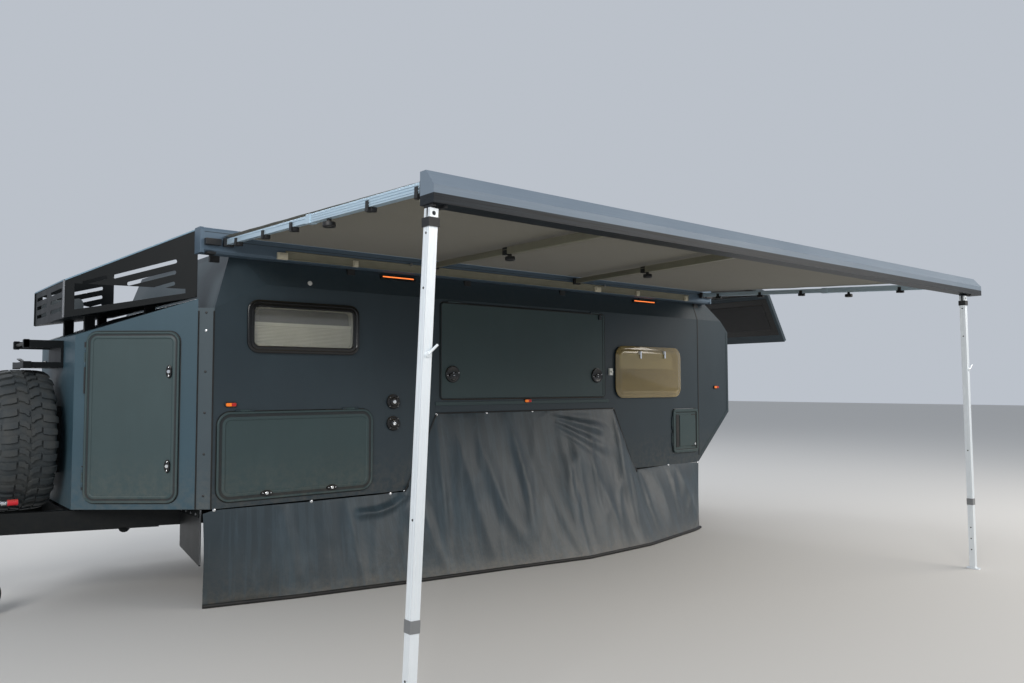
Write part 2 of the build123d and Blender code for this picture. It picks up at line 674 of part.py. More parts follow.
with BuildPart() as nose_tray:
    with BuildSketch(Plane.XZ):
        with BuildLine():
            Polyline(
                (TRAY_FRONT_X, TRAY_FRONT_BOTTOM_Z),
                (TRAY_REAR_X, TRAY_REAR_BOTTOM_Z),
                (TRAY_REAR_X, TRAY_REAR_BOTTOM_Z + TRAY_SHEET),
                (TRAY_FRONT_X, TRAY_FRONT_BOTTOM_Z + TRAY_SHEET),
                close=True,
            )
        make_face()
    extrude(amount=TRAY_REAR_HALF_WIDTH, both=True)
    split(bisect_by=tray_side, keep=Keep.BOTTOM)
    split(bisect_by=Plane.XZ, keep=Keep.TOP)
    add(tray_panel.part)
    with BuildSketch(Plane.YZ.offset(TRAY_FRONT_X)):
        with Locations((0, (TRAY_FRONT_BOTTOM_Z + TRAY_FRONT_TOP_Z) / 2)):
            Rectangle(2 * TRAY_FRONT_HALF_WIDTH, TRAY_FRONT_TOP_Z - TRAY_FRONT_BOTTOM_Z)
            with GridLocations(
                TRAY_FRONT_HALF_WIDTH,
                (TRAY_FRONT_TOP_Z - TRAY_FRONT_BOTTOM_Z) / (TRAY_FRONT_SLOT_ROWS + 1),
                2,
                TRAY_FRONT_SLOT_ROWS,
            ):
                SlotOverall(TRAY_FRONT_SLOT_LENGTH, TRAY_SLOT, mode=Mode.SUBTRACT)
    extrude(amount=TRAY_SHEET)
    split(bisect_by=Plane.XZ, keep=Keep.TOP)
    # Risers from the nose box's top to the tray's floor
    with BuildSketch(Plane.XY.offset(NOSE_FRONT_TOP_Z - NOSE_WALL)):
        with Locations(*[(NOSE_FRONT_X + behind, -y) for behind, y in TRAY_RISERS]):
            Rectangle(TRAY_RISER_LENGTH, TRAY_RISER_WIDTH)
    extrude(until=Until.NEXT)
    add(nose_block(0, 0), mode=Mode.SUBTRACT)
    mirror(about=Plane.XZ)
nose_tray.part.label = "nose_tray"
export_step(nose_tray.part, "parts/nose_tray.step")

# Drawbar: two rails that spread from the coupling to the first crossmember
DRAWBAR_TOP_Z = level(582.0)
DRAWBAR_BOTTOM_Z = DRAWBAR_TOP_Z - RAIL_HEIGHT
FIRST_MEMBER_X = 2150.0
FIRST_MEMBER_HALF_WIDTH = 740.0
RAIL_SPREAD = 0.3413
DRAWBAR_HEAD_X = 240.0
DRAWBAR_TIE_X = (1320.0, 1700.0)
BODY_MOUNT_X = (1380.0, 1900.0)
BODY_MOUNT_SIZE = 50.0


def drawbar_y(x):
    """Distance of a drawbar rail's middle from the centreline."""
    return RAIL_TIP_HALF_Y + (x - RAIL_TIP_X) * RAIL_SPREAD


with BuildPart() as drawbar_rails:
    half = RAIL_WIDTH / 2 * math.hypot(1, RAIL_SPREAD)
    with BuildSketch(Plane.XY.offset(DRAWBAR_BOTTOM_Z)):
        with BuildLine():
            Polyline(
                (RAIL_TIP_X, drawbar_y(RAIL_TIP_X) - half),
                (FIRST_MEMBER_X, drawbar_y(FIRST_MEMBER_X) - half),
                (FIRST_MEMBER_X, drawbar_y(FIRST_MEMBER_X) + half),
                (RAIL_TIP_X, drawbar_y(RAIL_TIP_X) + half),
                close=True,
            )
        make_face()
        mirror(about=Plane.XZ)
        with Locations(((DRAWBAR_HEAD_X + RAIL_TIP_X) / 2 + RAIL_WIDTH / 2, 0)):
            head_length = RAIL_TIP_X - DRAWBAR_HEAD_X + RAIL_WIDTH
            Rectangle(head_length, 2 * (RAIL_TIP_HALF_Y + half))
        for tie_x in DRAWBAR_TIE_X:
            with Locations((tie_x, 0)):
                Rectangle(CROSSMEMBER_WIDTH, 2 * drawbar_y(tie_x))
    extrude(amount=RAIL_HEIGHT)
    with BuildSketch(Plane.XY.offset(DRAWBAR_TOP_Z)):
        for mount_x in BODY_MOUNT_X:
            with Locations((mount_x, drawbar_y(mount_x)), (mount_x, -drawbar_y(mount_x))):
                Rectangle(BODY_MOUNT_SIZE, BODY_MOUNT_SIZE)
    extrude(amount=CABIN_BOTTOM_Z - DRAWBAR_TOP_Z)
drawbar_rails.part.label = "drawbar_rails"
export_step(drawbar_rails.part, "parts/drawbar_rails.step")

# Tow coupling: a socket over the ball, a shank and a release lever
BALL_SOCKET_RADIUS = 25.0
COUPLING_RADIUS = 46.0
COUPLING_BOTTOM_Z = -38.0
COUPLING_TOP_Z = 42.0
SOCKET_TOP_Z = 24.0
SHANK_HALF_WIDTH = 34.0
LEVER_LENGTH = 130.0
LEVER_RISE = 34.0
LEVER_THICKNESS = 12.0
LEVER_ROOT_HEIGHT = 22.0
LEVER_ROOT_X = COUPLING_RADIUS - 20.0

with BuildPart() as tow_coupling:
    with BuildSketch(Plane.XY.offset(COUPLING_BOTTOM_Z)):
        Circle(COUPLING_RADIUS)
        with Locations((DRAWBAR_HEAD_X / 2, 0)):
            Rectangle(DRAWBAR_HEAD_X, 2 * SHANK_HALF_WIDTH)
    extrude(amount=COUPLING_TOP_Z - COUPLING_BOTTOM_Z)
    with BuildSketch(Plane.XZ):
        with BuildLine():
            Polyline(
                (COUPLING_RADIUS, COUPLING_TOP_Z),
                (COUPLING_RADIUS + LEVER_LENGTH, COUPLING_TOP_Z + LEVER_RISE),
                (COUPLING_RADIUS + LEVER_LENGTH, COUPLING_TOP_Z + LEVER_RISE + LEVER_THICKNESS),
                (LEVER_ROOT_X, COUPLING_TOP_Z + LEVER_ROOT_HEIGHT),
                (LEVER_ROOT_X, COUPLING_TOP_Z),
                close=True,
            )
        make_face()
    extrude(amount=SHANK_HALF_WIDTH / 2, both=True)
    with BuildSketch(Plane.XY.offset(COUPLING_BOTTOM_Z)):
        Circle(BALL_SOCKET_RADIUS)
    extrude(amount=SOCKET_TOP_Z - COUPLING_BOTTOM_Z, mode=Mode.SUBTRACT)
tow_coupling.part.label = "tow_coupling"
export_step(tow_coupling.part, "parts/tow_coupling.step")

# Chassis: two long rails, crossmembers and hangers for the trailing arms
CHASSIS_BOTTOM_Z = CABIN_BOTTOM_Z - RAIL_HEIGHT
AXLES = (AXLE_X - AXLE_SPACING / 2, AXLE_X + AXLE_SPACING / 2)
HANGER_LENGTH = 110.0
HUB_Z = GROUND_Z + TYRE_RADIUS

with BuildPart() as chassis_frame:
    with BuildSketch(Plane.XY.offset(CHASSIS_BOTTOM_Z)):
        rail_middle = (FIRST_MEMBER_X + CHASSIS_END_X) / 2
        with Locations((rail_middle, CHASSIS_RAIL_Y), (rail_middle, -CHASSIS_RAIL_Y)):
            Rectangle(CHASSIS_END_X - FIRST_MEMBER_X, RAIL_WIDTH)
        with Locations((FIRST_MEMBER_X + CROSSMEMBER_WIDTH / 2, 0)):
            Rectangle(CROSSMEMBER_WIDTH, 2 * FIRST_MEMBER_HALF_WIDTH)
        for axle in AXLES:
            hanger_y = (CHASSIS_RAIL_Y + ARM_INNER_Y) / 2
            with Locations((axle - ARM_LENGTH, hanger_y), (axle - ARM_LENGTH, -hanger_y)):
                Rectangle(HANGER_LENGTH, ARM_INNER_Y - CHASSIS_RAIL_Y)
    extrude(amount=RAIL_HEIGHT)
    pitch = (CHASSIS_END_X - FIRST_MEMBER_X - CROSSMEMBER_WIDTH) / (CROSSMEMBER_COUNT - 1)
    with BuildSketch(Plane.XY.offset(CABIN_BOTTOM_Z - CROSSMEMBER_HEIGHT)):
        with Locations((rail_middle, 0)):
            with GridLocations(pitch, 0, CROSSMEMBER_COUNT, 1):
                Rectangle(CROSSMEMBER_WIDTH, 2 * CHASSIS_RAIL_Y)
    extrude(amount=CROSSMEMBER_HEIGHT)
chassis_frame.part.label = "chassis_frame"
export_step(chassis_frame.part, "parts/chassis_frame.step")

REAR_BAR_DEPTH = 70.0
REAR_BAR_HEIGHT = 95.0
REAR_BAR_HALF_WIDTH = CABIN_HALF_WIDTH - 120.0
with BuildPart() as rear_bar:
    with BuildSketch(Plane.XY.offset(CABIN_BOTTOM_Z)):
        with Locations((CHASSIS_END_X + REAR_BAR_DEPTH / 2, 0)):
            Rectangle(REAR_BAR_DEPTH, 2 * REAR_BAR_HALF_WIDTH)
    extrude(amount=-REAR_BAR_HEIGHT)
rear_bar.part.label = "rear_bar"
export_step(rear_bar.part, "parts/rear_bar.step")

# Suspension: one trailing arm, hub stub, brake drum and spring for each wheel
ARM_PIVOT_Z = CHASSIS_BOTTOM_Z + 65.0
DRUM_INNER_Y = WHEEL_INNER_Y
DRUM_OUTER_Y = DRUM_INNER_Y + 36.0
STUB_END = 22.0
SPRING_SETBACK = 70.0

with BuildPart() as near_arms:
    for axle in AXLES:
        arm_dir = Vector(ARM_LENGTH, 0, HUB_Z - ARM_PIVOT_Z).normalized()
        arm_plane = Plane(
            origin=(axle - ARM_LENGTH, -ARM_INNER_Y, ARM_PIVOT_Z),
            x_dir=arm_dir,
            z_dir=(0, -1, 0),
        )
        with BuildSketch(arm_plane):
            SlotCenterPoint(
                (math.hypot(ARM_LENGTH, HUB_Z - ARM_PIVOT_Z) / 2, 0), (0, 0), ARM_HEIGHT
            )
        extrude(amount=ARM_WIDTH)
        with BuildSketch(Plane.XZ.offset(ARM_INNER_Y)):
            with Locations((axle, HUB_Z)):
                Circle(STUB_RADIUS)
        extrude(amount=WHEEL_Y + STUB_END - ARM_INNER_Y)
        with BuildSketch(Plane.XZ.offset(DRUM_INNER_Y)):
            with Locations((axle, HUB_Z)):
                Circle(DRUM_RADIUS)
        extrude(amount=DRUM_OUTER_Y - DRUM_INNER_Y)

with BuildPart() as suspension_arms:
    add(pair(near_arms.part))
suspension_arms.part.label = "suspension_arms"
export_step(suspension_arms.part, "parts/suspension_arms.step")

with BuildPart() as suspension_springs:
    with BuildSketch(Plane.XY.offset(HUB_Z)):
        for axle in AXLES:
            with Locations((axle - SPRING_SETBACK, -ARM_INNER_Y - ARM_WIDTH / 2)):
                Circle(SPRING_RADIUS)
    extrude(amount=CABIN_BOTTOM_Z - HUB_Z)
    mirror(about=Plane.XZ)
    add(suspension_arms.part, mode=Mode.SUBTRACT)
suspension_springs.part.label = "suspension_springs"
export_step(suspension_springs.part, "parts/suspension_springs.step")

# Wheels
SHOULDER_DROP = 45.0
WALL_BULGE_RISE = 70.0
# Half of the tyre's section: radius, half width
TYRE_SECTION = [
    (TYRE_BEAD_RADIUS, 0.36 * TYRE_WIDTH),
    (TYRE_BEAD_RADIUS + WALL_BULGE_RISE, 0.48 * TYRE_WIDTH),
    (TYRE_RADIUS - SHOULDER_DROP, 0.50 * TYRE_WIDTH),
    (TYRE_RADIUS, 0.44 * TYRE_WIDTH),
]
DISC_OUTER = 48.0
DISC_THICKNESS = 18.0
HUB_BACK = 60.0
RIM_HOLE_COUNT = 8
RIM_HOLE_RADIUS = 27.0
RIM_HOLE_CIRCLE = 128.0


def wheel_plane(centre, outward):
    """A plane whose X runs outwards from the axis and whose Y is the axis."""
    up = Vector(0, 0, 1)
    return Plane(origin=centre, x_dir=up, z_dir=up.cross(Vector(*outward)))


def tyre_solid(plane):
    """One tyre about the plane's Y axis."""
    with BuildPart() as solid:
        with BuildSketch(plane):
            with BuildLine():
                Polyline(
                    [(r, y) for r, y in TYRE_SECTION]
                    + [(r, -y) for r, y in reversed(TYRE_SECTION)],
                    close=True,
                )
            make_face()
        revolve(axis=Axis(plane.origin, plane.y_dir))
    return solid.part


def rim_solid(plane):
    """One rim: barrel, pierced disc and hub with a bore for the stub."""
    barrel = TYRE_BEAD_RADIUS - FIT_GAP
    disc_inner = DISC_OUTER - DISC_THICKNESS
    with BuildPart() as solid:
        with BuildSketch(plane):
            with BuildLine():
                Polyline(
                    (0, DISC_OUTER),
                    (0, disc_inner),
                    (STUB_RADIUS + FIT_GAP, disc_inner),
                    (STUB_RADIUS + FIT_GAP, -HUB_BACK),
                    (HUB_RADIUS, -HUB_BACK),
                    (HUB_RADIUS, disc_inner),
                    (barrel - RIM_WALL, disc_inner),
                    (barrel - RIM_WALL, -RIM_WIDTH / 2),
                    (barrel, -RIM_WIDTH / 2),
                    (barrel, RIM_WIDTH / 2),
                    (barrel - RIM_WALL, RIM_WIDTH / 2),
                    (barrel - RIM_WALL, DISC_OUTER),
                    close=True,
                )
            make_face()
        revolve(axis=Axis(plane.origin, plane.y_dir))
        with BuildSketch(Plane(origin=plane.origin, z_dir=plane.y_dir).offset(disc_inner)):
            with PolarLocations(RIM_HOLE_CIRCLE, RIM_HOLE_COUNT):
                Circle(RIM_HOLE_RADIUS)
        extrude(amount=DISC_THICKNESS, mode=Mode.SUBTRACT)
    return solid.part


# Wheel places: name, X, side (-1 near, 1 far)
WHEELS = [
    ("front_near", AXLES[0], -1),
    ("rear_near", AXLES[1], -1),
    ("front_far", AXLES[0], 1),
    ("rear_far", AXLES[1], 1),
]
for name, axle, side in WHEELS:
    place = wheel_plane((axle, side * WHEEL_Y, HUB_Z), (0, side, 0))
    tyre = tyre_solid(place)
    tyre.label = f"tyre_{name}"
    export_step(tyre, f"parts/tyre_{name}.step")
    rim = rim_solid(place)
    rim.label = f"rim_{name}"
    export_step(rim, f"parts/rim_{name}.step")

spare_place = wheel_plane((SPARE_CENTRE_X, 0, SPARE_CENTRE_Z), (-1, 0, 0))
spare_tyre = tyre_solid(spare_place)
spare_tyre.label = "spare_tyre"
export_step(spare_tyre, "parts/spare_tyre.step")
spare_rim = rim_solid(spare_place)
spare_rim.label = "spare_rim"
export_step(spare_rim, "parts/spare_rim.step")

# Spare wheel carrier on the nose box, with the small rack above the tyre
CARRIER_PLATE = 16.0
CARRIER_HALF_WIDTH = 150.0
CARRIER_HALF_HEIGHT = 210.0
RACK_HALF_WIDTH = 190.0
RACK_FRONT_X = 1075.0
RACK_SHELF_Z = level(1462.0)
RACK_SHELF_HEIGHT = 34.0
RACK_BAR_Z = level(1588.0)
RACK_BAR_HEIGHT = 46.0

with BuildPart() as spare_carrier:
    with BuildSketch(Plane.YZ.offset(NOSE_FRONT_X - CARRIER_PLATE)):
        with Locations((0, SPARE_CENTRE_Z)):
            Rectangle(2 * CARRIER_HALF_WIDTH, 2 * CARRIER_HALF_HEIGHT)
        with Locations((0, (RACK_SHELF_Z + RACK_BAR_Z + RACK_BAR_HEIGHT) / 2)):
            Rectangle(2 * RACK_HALF_WIDTH, RACK_BAR_Z + RACK_BAR_HEIGHT - RACK_SHELF_Z)
    extrude(amount=CARRIER_PLATE)
    with BuildSketch(Plane.YZ.offset(SPARE_CENTRE_X + HUB_BACK)):
        with Locations((0, SPARE_CENTRE_Z)):
            Circle(HUB_RADIUS + CARRIER_PLATE)
    extrude(amount=NOSE_FRONT_X - SPARE_CENTRE_X - HUB_BACK)
    with BuildSketch(Plane.YZ.offset(RACK_FRONT_X)):
        with Locations((0, RACK_SHELF_Z + RACK_SHELF_HEIGHT / 2)):
            Rectangle(2 * RACK_HALF_WIDTH, RACK_SHELF_HEIGHT)
        bar_y = RACK_HALF_WIDTH - CARRIER_PLATE
        bar_z = RACK_BAR_Z + RACK_BAR_HEIGHT / 2
        with Locations((bar_y, bar_z), (-bar_y, bar_z)):
            Rectangle(2 * CARRIER_PLATE, RACK_BAR_HEIGHT)
    extrude(amount=NOSE_FRONT_X - RACK_FRONT_X)
spare_carrier.part.label = "spare_carrier"
export_step(spare_carrier.part, "parts/spare_carrier.step")

# Jack on the near drawbar rail, with its wheel on the ground
JACK_X = 850.0
JACK_Y = -335.0
JACK_TUBE_RADIUS = 30.0
JACK_STEM_RADIUS = 24.0
JACK_TOP_Z = level(860.0)
JACK_TUBE_BOTTOM_Z = level(400.0)
JOCKEY_RADIUS = 125.0
JOCKEY_HALF_WIDTH = 34.0
JOCKEY_Z = GROUND_Z + JOCKEY_RADIUS
JOCKEY_CROWN_DROP = 18.0
JOCKEY_CROWN_EDGE = 12.0
FORK_CHEEK = 6.0
FORK_GAP = 8.0
FORK_TOP_Z = JOCKEY_Z + JOCKEY_RADIUS + 14.0
CLAMP_GRIP = 40.0
JOCKEY_PIN_RADIUS = 10.0
JOCKEY_HUB_GAP = 0.3
CRANK_Z = level(650.0)
CRANK_REACH = 110.0
CRANK_ROD_RADIUS = 8.0
GRIP_RADIUS = 15.0
GRIP_LENGTH = 90.0

with BuildPart() as jack_post:
    with BuildSketch(Plane.XY.offset(JACK_TUBE_BOTTOM_Z)):
        with Locations((JACK_X, JACK_Y)):
            Circle(JACK_TUBE_RADIUS)
    extrude(amount=JACK_TOP_Z - JACK_TUBE_BOTTOM_Z)
    with BuildSketch(Plane.XY.offset(FORK_TOP_Z)):
        with Locations((JACK_X, JACK_Y)):
            Circle(JACK_STEM_RADIUS)
    extrude(amount=JACK_TUBE_BOTTOM_Z - FORK_TOP_Z)
    # Fork crown and cheeks
    fork_outer = JOCKEY_HALF_WIDTH + FORK_GAP + FORK_CHEEK
    with BuildSketch(Plane.XY.offset(FORK_TOP_Z)):
        with Locations((JACK_X, JACK_Y)):
            Rectangle(2 * JACK_TUBE_RADIUS, 2 * fork_outer)
    extrude(amount=FORK_CHEEK)
    for cheek_y in (-fork_outer, fork_outer - FORK_CHEEK):
        with BuildSketch(Plane.XZ.offset(-JACK_Y + cheek_y)):
            with Locations((JACK_X, (FORK_TOP_Z + JOCKEY_Z) / 2)):
                Rectangle(2 * JACK_TUBE_RADIUS, FORK_TOP_Z - JOCKEY_Z)
            with Locations((JACK_X, JOCKEY_Z)):
                Circle(JACK_TUBE_RADIUS)
        extrude(amount=FORK_CHEEK)
    with BuildSketch(Plane.XZ.offset(-JACK_Y - fork_outer)):
        with Locations((JACK_X, JOCKEY_Z)):
            Circle(JOCKEY_PIN_RADIUS)
    extrude(amount=2 * fork_outer)
    # Clamp block to the rail's outer face
    with BuildSketch(Plane.XY.offset(DRAWBAR_BOTTOM_Z)):
        clamp_inner = drawbar_y(JACK_X) + half
        with Locations((JACK_X, (JACK_Y - clamp_inner) / 2)):
            Rectangle(2 * JACK_TUBE_RADIUS, -JACK_Y - clamp_inner + CLAMP_GRIP)
    extrude(amount=RAIL_HEIGHT)
    # Crank with its grip
    with BuildSketch(Plane.YZ.offset(JACK_X)):
        with Locations((JACK_Y, CRANK_Z)):
            Circle(CRANK_ROD_RADIUS)
    extrude(amount=CRANK_REACH)
    with BuildSketch(Plane.YZ.offset(JACK_X + CRANK_REACH)):
        with Locations((JACK_Y, CRANK_Z)):
            Circle(GRIP_RADIUS)
    extrude(amount=GRIP_LENGTH)
    add(drawbar_rails.part, mode=Mode.SUBTRACT)
jack_post.part.label = "jack_post"
export_step(jack_post.part, "parts/jack_post.step")

with BuildPart() as jockey_wheel:
    with BuildSketch(wheel_plane((JACK_X, JACK_Y, JOCKEY_Z), (0, 1, 0))):
        with BuildLine():
            bore = JOCKEY_PIN_RADIUS + JOCKEY_HUB_GAP
            Polyline(
                (bore, -JOCKEY_HALF_WIDTH),
                (JOCKEY_RADIUS - JOCKEY_CROWN_DROP, -JOCKEY_HALF_WIDTH),
                (JOCKEY_RADIUS, -JOCKEY_HALF_WIDTH + JOCKEY_CROWN_EDGE),
                (JOCKEY_RADIUS, JOCKEY_HALF_WIDTH - JOCKEY_CROWN_EDGE),
                (JOCKEY_RADIUS - JOCKEY_CROWN_DROP, JOCKEY_HALF_WIDTH),
                (bore, JOCKEY_HALF_WIDTH),
                close=True,
            )
        make_face()
    revolve(axis=Axis((JACK_X, JACK_Y, JOCKEY_Z), (0, 1, 0)))
jockey_wheel.part.label = "jockey_wheel"
export_step(jockey_wheel.part, "parts/jockey_wheel.step")

# Mud flaps under the corner strips, cut at a slant
FLAP_X = CORNER_STRIP_X + 27.0
FLAP_THICKNESS = 10.0
FLAP_OUTER_Y = CABIN_HALF_WIDTH - 50.0
FLAP_INSET = 100.0
FLAP_INNER_Y = FIRST_MEMBER_HALF_WIDTH - FLAP_INSET
FLAP_OUTER_BOTTOM_Z = level(260.0)
FLAP_INNER_BOTTOM_Z = level(330.0)
with BuildPart() as mud_flaps:
    with BuildSketch(Plane.YZ.offset(FLAP_X)):
        with BuildLine():
            Polyline(
                (FLAP_INNER_Y, CABIN_BOTTOM_Z),
                (FLAP_OUTER_Y, CABIN_BOTTOM_Z),
                (FLAP_OUTER_Y, FLAP_OUTER_BOTTOM_Z),
                (FLAP_INNER_Y, FLAP_INNER_BOTTOM_Z),
                close=True,
            )
        make_face()
    extrude(amount=FLAP_THICKNESS)
    mirror(about=Plane.XZ)
mud_flaps.part.label = "mud_flaps"
export_step(mud_flaps.part, "parts/mud_flaps.step")

# Awning: case on the cabin's edge, lead rail, rafters, legs and fabric
CASE_BOTTOM_Z = CASE_TOP_Z - CASE_HEIGHT
CASE_CHAMFER = 16.0
CASE_LUG_REACH = 90.0
CASE_LUG_COUNT = 4
CASE_LUG_WIDTH = 120.0
CASE_LUG_THICKNESS = 6.0
LEAD_BOTTOM_Z = LEAD_TOP_Z - LEAD_HEIGHT
LEAD_INNER_Y = LEAD_OUTER_Y - LEAD_DEPTH
LEAD_SLOPE_DEPTH = 52.0
LEAD_SLOPE_DROP = 62.0
FABRIC_INSET = 60.0
case_length = CASE_REAR_X - CASE_FRONT_X

with BuildPart() as awning_case:
    with BuildSketch(Plane.YZ.offset(CASE_FRONT_X)):
        with BuildLine():
            Polyline(
                (-CASE_OUTER_Y, CASE_BOTTOM_Z + CASE_CHAMFER),
                (-CASE_OUTER_Y, CASE_TOP_Z - CASE_CHAMFER),
                (-CASE_OUTER_Y + CASE_CHAMFER, CASE_TOP_Z),
                (-CASE_INNER_Y, CASE_TOP_Z),
                (-CASE_INNER_Y, CASE_BOTTOM_Z),
                (-CASE_OUTER_Y + CASE_CHAMFER, CASE_BOTTOM_Z),
                close=True,
            )
        make_face()
    extrude(amount=case_length)
    with BuildSketch(Plane.XY.offset(ROOF_Z)):
        with Locations(
            ((CASE_FRONT_X + CASE_REAR_X) / 2, -CASE_INNER_Y + CASE_LUG_REACH / 2)
        ):
            with GridLocations(case_length / CASE_LUG_COUNT, 0, CASE_LUG_COUNT, 1):
                Rectangle(CASE_LUG_WIDTH, CASE_LUG_REACH)
    extrude(amount=CASE_LUG_THICKNESS)
awning_case.part.label = "awning_case"
export_step(awning_case.part, "parts/awning_case.step")

# Legs: name, X of the hinge, X of the foot
LEGS = [
    ("front", 1863.0, 1763.0),
    ("rear", 6600.0, 6634.0),
]
LEG_Y = -(LEAD_INNER_Y + LEAD_OUTER_Y) / 2
LEG_HINGE_Z = LEAD_BOTTOM_Z - LEG_DROP
LEG_LUG_HALF = 15.0
LEG_LUG_THICKNESS = 12.0
LEG_SLOT = 44.0
FOOT_LENGTH = 48.0
FOOT_WIDTH = 90.0
FOOT_THICKNESS = 8.0

with BuildPart() as awning_lead_rail:
    with BuildSketch(Plane.YZ.offset(CASE_FRONT_X)):
        with BuildLine():
            Polyline(
                (-LEAD_INNER_Y, LEAD_BOTTOM_Z),
                (-LEAD_INNER_Y, LEAD_TOP_Z),
                (-LEAD_OUTER_Y + LEAD_SLOPE_DEPTH, LEAD_TOP_Z),
                (-LEAD_OUTER_Y, LEAD_TOP_Z - LEAD_SLOPE_DROP),
                (-LEAD_OUTER_Y, LEAD_BOTTOM_Z),
                close=True,
            )
        make_face()
    extrude(amount=case_length)
    for name, hinge_x, foot_x in LEGS:
        with BuildSketch(Plane.XZ.offset(-LEG_Y - LEG_LUG_THICKNESS / 2)):
            with Locations((hinge_x, (LEAD_BOTTOM_Z + LEG_HINGE_Z) / 2)):
                Rectangle(2 * LEG_LUG_HALF, LEG_DROP)
            with Locations((hinge_x, LEG_HINGE_Z)):
                Circle(LEG_LUG_HALF)
        extrude(amount=LEG_LUG_THICKNESS)
        with BuildSketch(Plane.XZ.offset(-LEG_Y - LEG_SIZE / 2)):
            with Locations((hinge_x, LEG_HINGE_Z)):
                Circle(LEG_PIN_RADIUS)
        extrude(amount=LEG_SIZE)
awning_lead_rail.part.label = "awning_lead_rail"
export_step(awning_lead_rail.part, "parts/awning_lead_rail.step")

for name, hinge_x, foot_x in LEGS:
    leg_vector = Vector(foot_x - hinge_x, 0, GROUND_Z - LEG_HINGE_Z)
    leg_plane = Plane(
        origin=(hinge_x, LEG_Y, LEG_HINGE_Z), x_dir=leg_vector.normalized(), z_dir=(0, -1, 0)
    )
    leg_back = LEG_LUG_HALF + LEG_PIN_RADIUS / 2
    with BuildPart() as awning_leg:
        with BuildSketch(leg_plane):
            with Locations(((leg_vector.length - leg_back) / 2, 0)):
                Rectangle(leg_vector.length + leg_back, LEG_SIZE)
        extrude(amount=LEG_SIZE / 2, both=True)
        with BuildSketch(leg_plane):
            with Locations(((LEG_SLOT - leg_back) / 2, 0)):
                Rectangle(LEG_SLOT + leg_back, LEG_SIZE)
        extrude(amount=LEG_LUG_THICKNESS / 2 + FIT_GAP, both=True, mode=Mode.SUBTRACT)
        with BuildSketch(leg_plane):
            Circle(LEG_PIN_RADIUS + FIT_GAP)
        extrude(amount=LEG_SIZE, both=True, mode=Mode.SUBTRACT)
        with BuildSketch(Plane.XY.offset(GROUND_Z)):
            with Locations((foot_x, LEG_Y)):
                RectangleRounded(FOOT_LENGTH, FOOT_WIDTH, FOOT_LENGTH / 4)
        extrude(amount=FOOT_THICKNESS)
        split(bisect_by=Plane.XY.offset(GROUND_Z), keep=Keep.TOP)
    awning_leg.part.label = f"awning_leg_{name}"
    export_step(awning_leg.part, f"parts/awning_leg_{name}.step")

fabric_case_z = CASE_TOP_Z - FABRIC_CASE_DROP
fabric_lead_z = LEAD_TOP_Z - FABRIC_LEAD_DROP
with BuildPart() as awning_fabric:
    with BuildSketch(Plane.YZ.offset(CASE_FRONT_X + FABRIC_INSET)):
        with BuildLine():
            Polyline(
                (-CASE_OUTER_Y, fabric_case_z),
                (-LEAD_INNER_Y, fabric_lead_z),
                (-LEAD_INNER_Y, fabric_lead_z - FABRIC_THICKNESS),
                (-CASE_OUTER_Y, fabric_case_z - FABRIC_THICKNESS),
                close=True,
            )
        make_face()
    extrude(amount=case_length - 2 * FABRIC_INSET)
awning_fabric.part.label = "awning_fabric"
export_step(awning_fabric.part, "parts/awning_fabric.step")

# Rafters: X at the case, X at the lead rail
RAFTER_CASE_X = (2003.0, 3523.0, 4963.0, 6660.0)
RAFTER_LEAD_X = (1890.0, 3080.0, 4140.0, 6773.0)
with BuildPart() as awning_rafters:
    drop = FABRIC_THICKNESS + RAFTER_GAP + RAFTER_HEIGHT / 2
    for case_x, lead_x in zip(RAFTER_CASE_X, RAFTER_LEAD_X):
        run = Vector(lead_x - case_x, CASE_OUTER_Y - LEAD_INNER_Y, fabric_lead_z - fabric_case_z)
        with BuildSketch(Plane.XZ.offset(CASE_OUTER_Y)):
            with Locations((case_x, fabric_case_z - drop)):
                Rectangle(RAFTER_WIDTH, RAFTER_HEIGHT)
        extrude(amount=run.length, dir=run.normalized())
awning_rafters.part.label = "awning_rafters"
export_step(awning_rafters.part, "parts/awning_rafters.step")

# Side skirt: it hangs from the near wall, over the wheel arch, down to the ground
SKIRT_THICKNESS = 8.0
SKIRT_FOOT_Y = CABIN_HALF_WIDTH + 180.0
SKIRT_FRONT_X = CABIN_FRONT_X + 15.0
SKIRT_REAR_X = REAR_BOTTOM_X - 2.0
SKIRT_LAP = 15.0
SKIRT_BULGE = 30.0
SKIRT_HEM_GAP = 2.0
skirt_wall_y = -CABIN_HALF_WIDTH - FIT_GAP
skirt_foot_z = GROUND_Z + SKIRT_HEM_GAP


def skirt_bay(start, end, rows):
    """One length of skirt: its section's inner points run from the top to the hem."""
    outer = [(y - SKIRT_THICKNESS, z) for y, z in rows]
    with BuildPart() as bay:
        with BuildSketch(Plane.YZ.offset(start)):
            with BuildLine():
                Polyline(rows + outer[::-1], close=True)
            make_face()
        extrude(amount=end - start)
    return bay.part


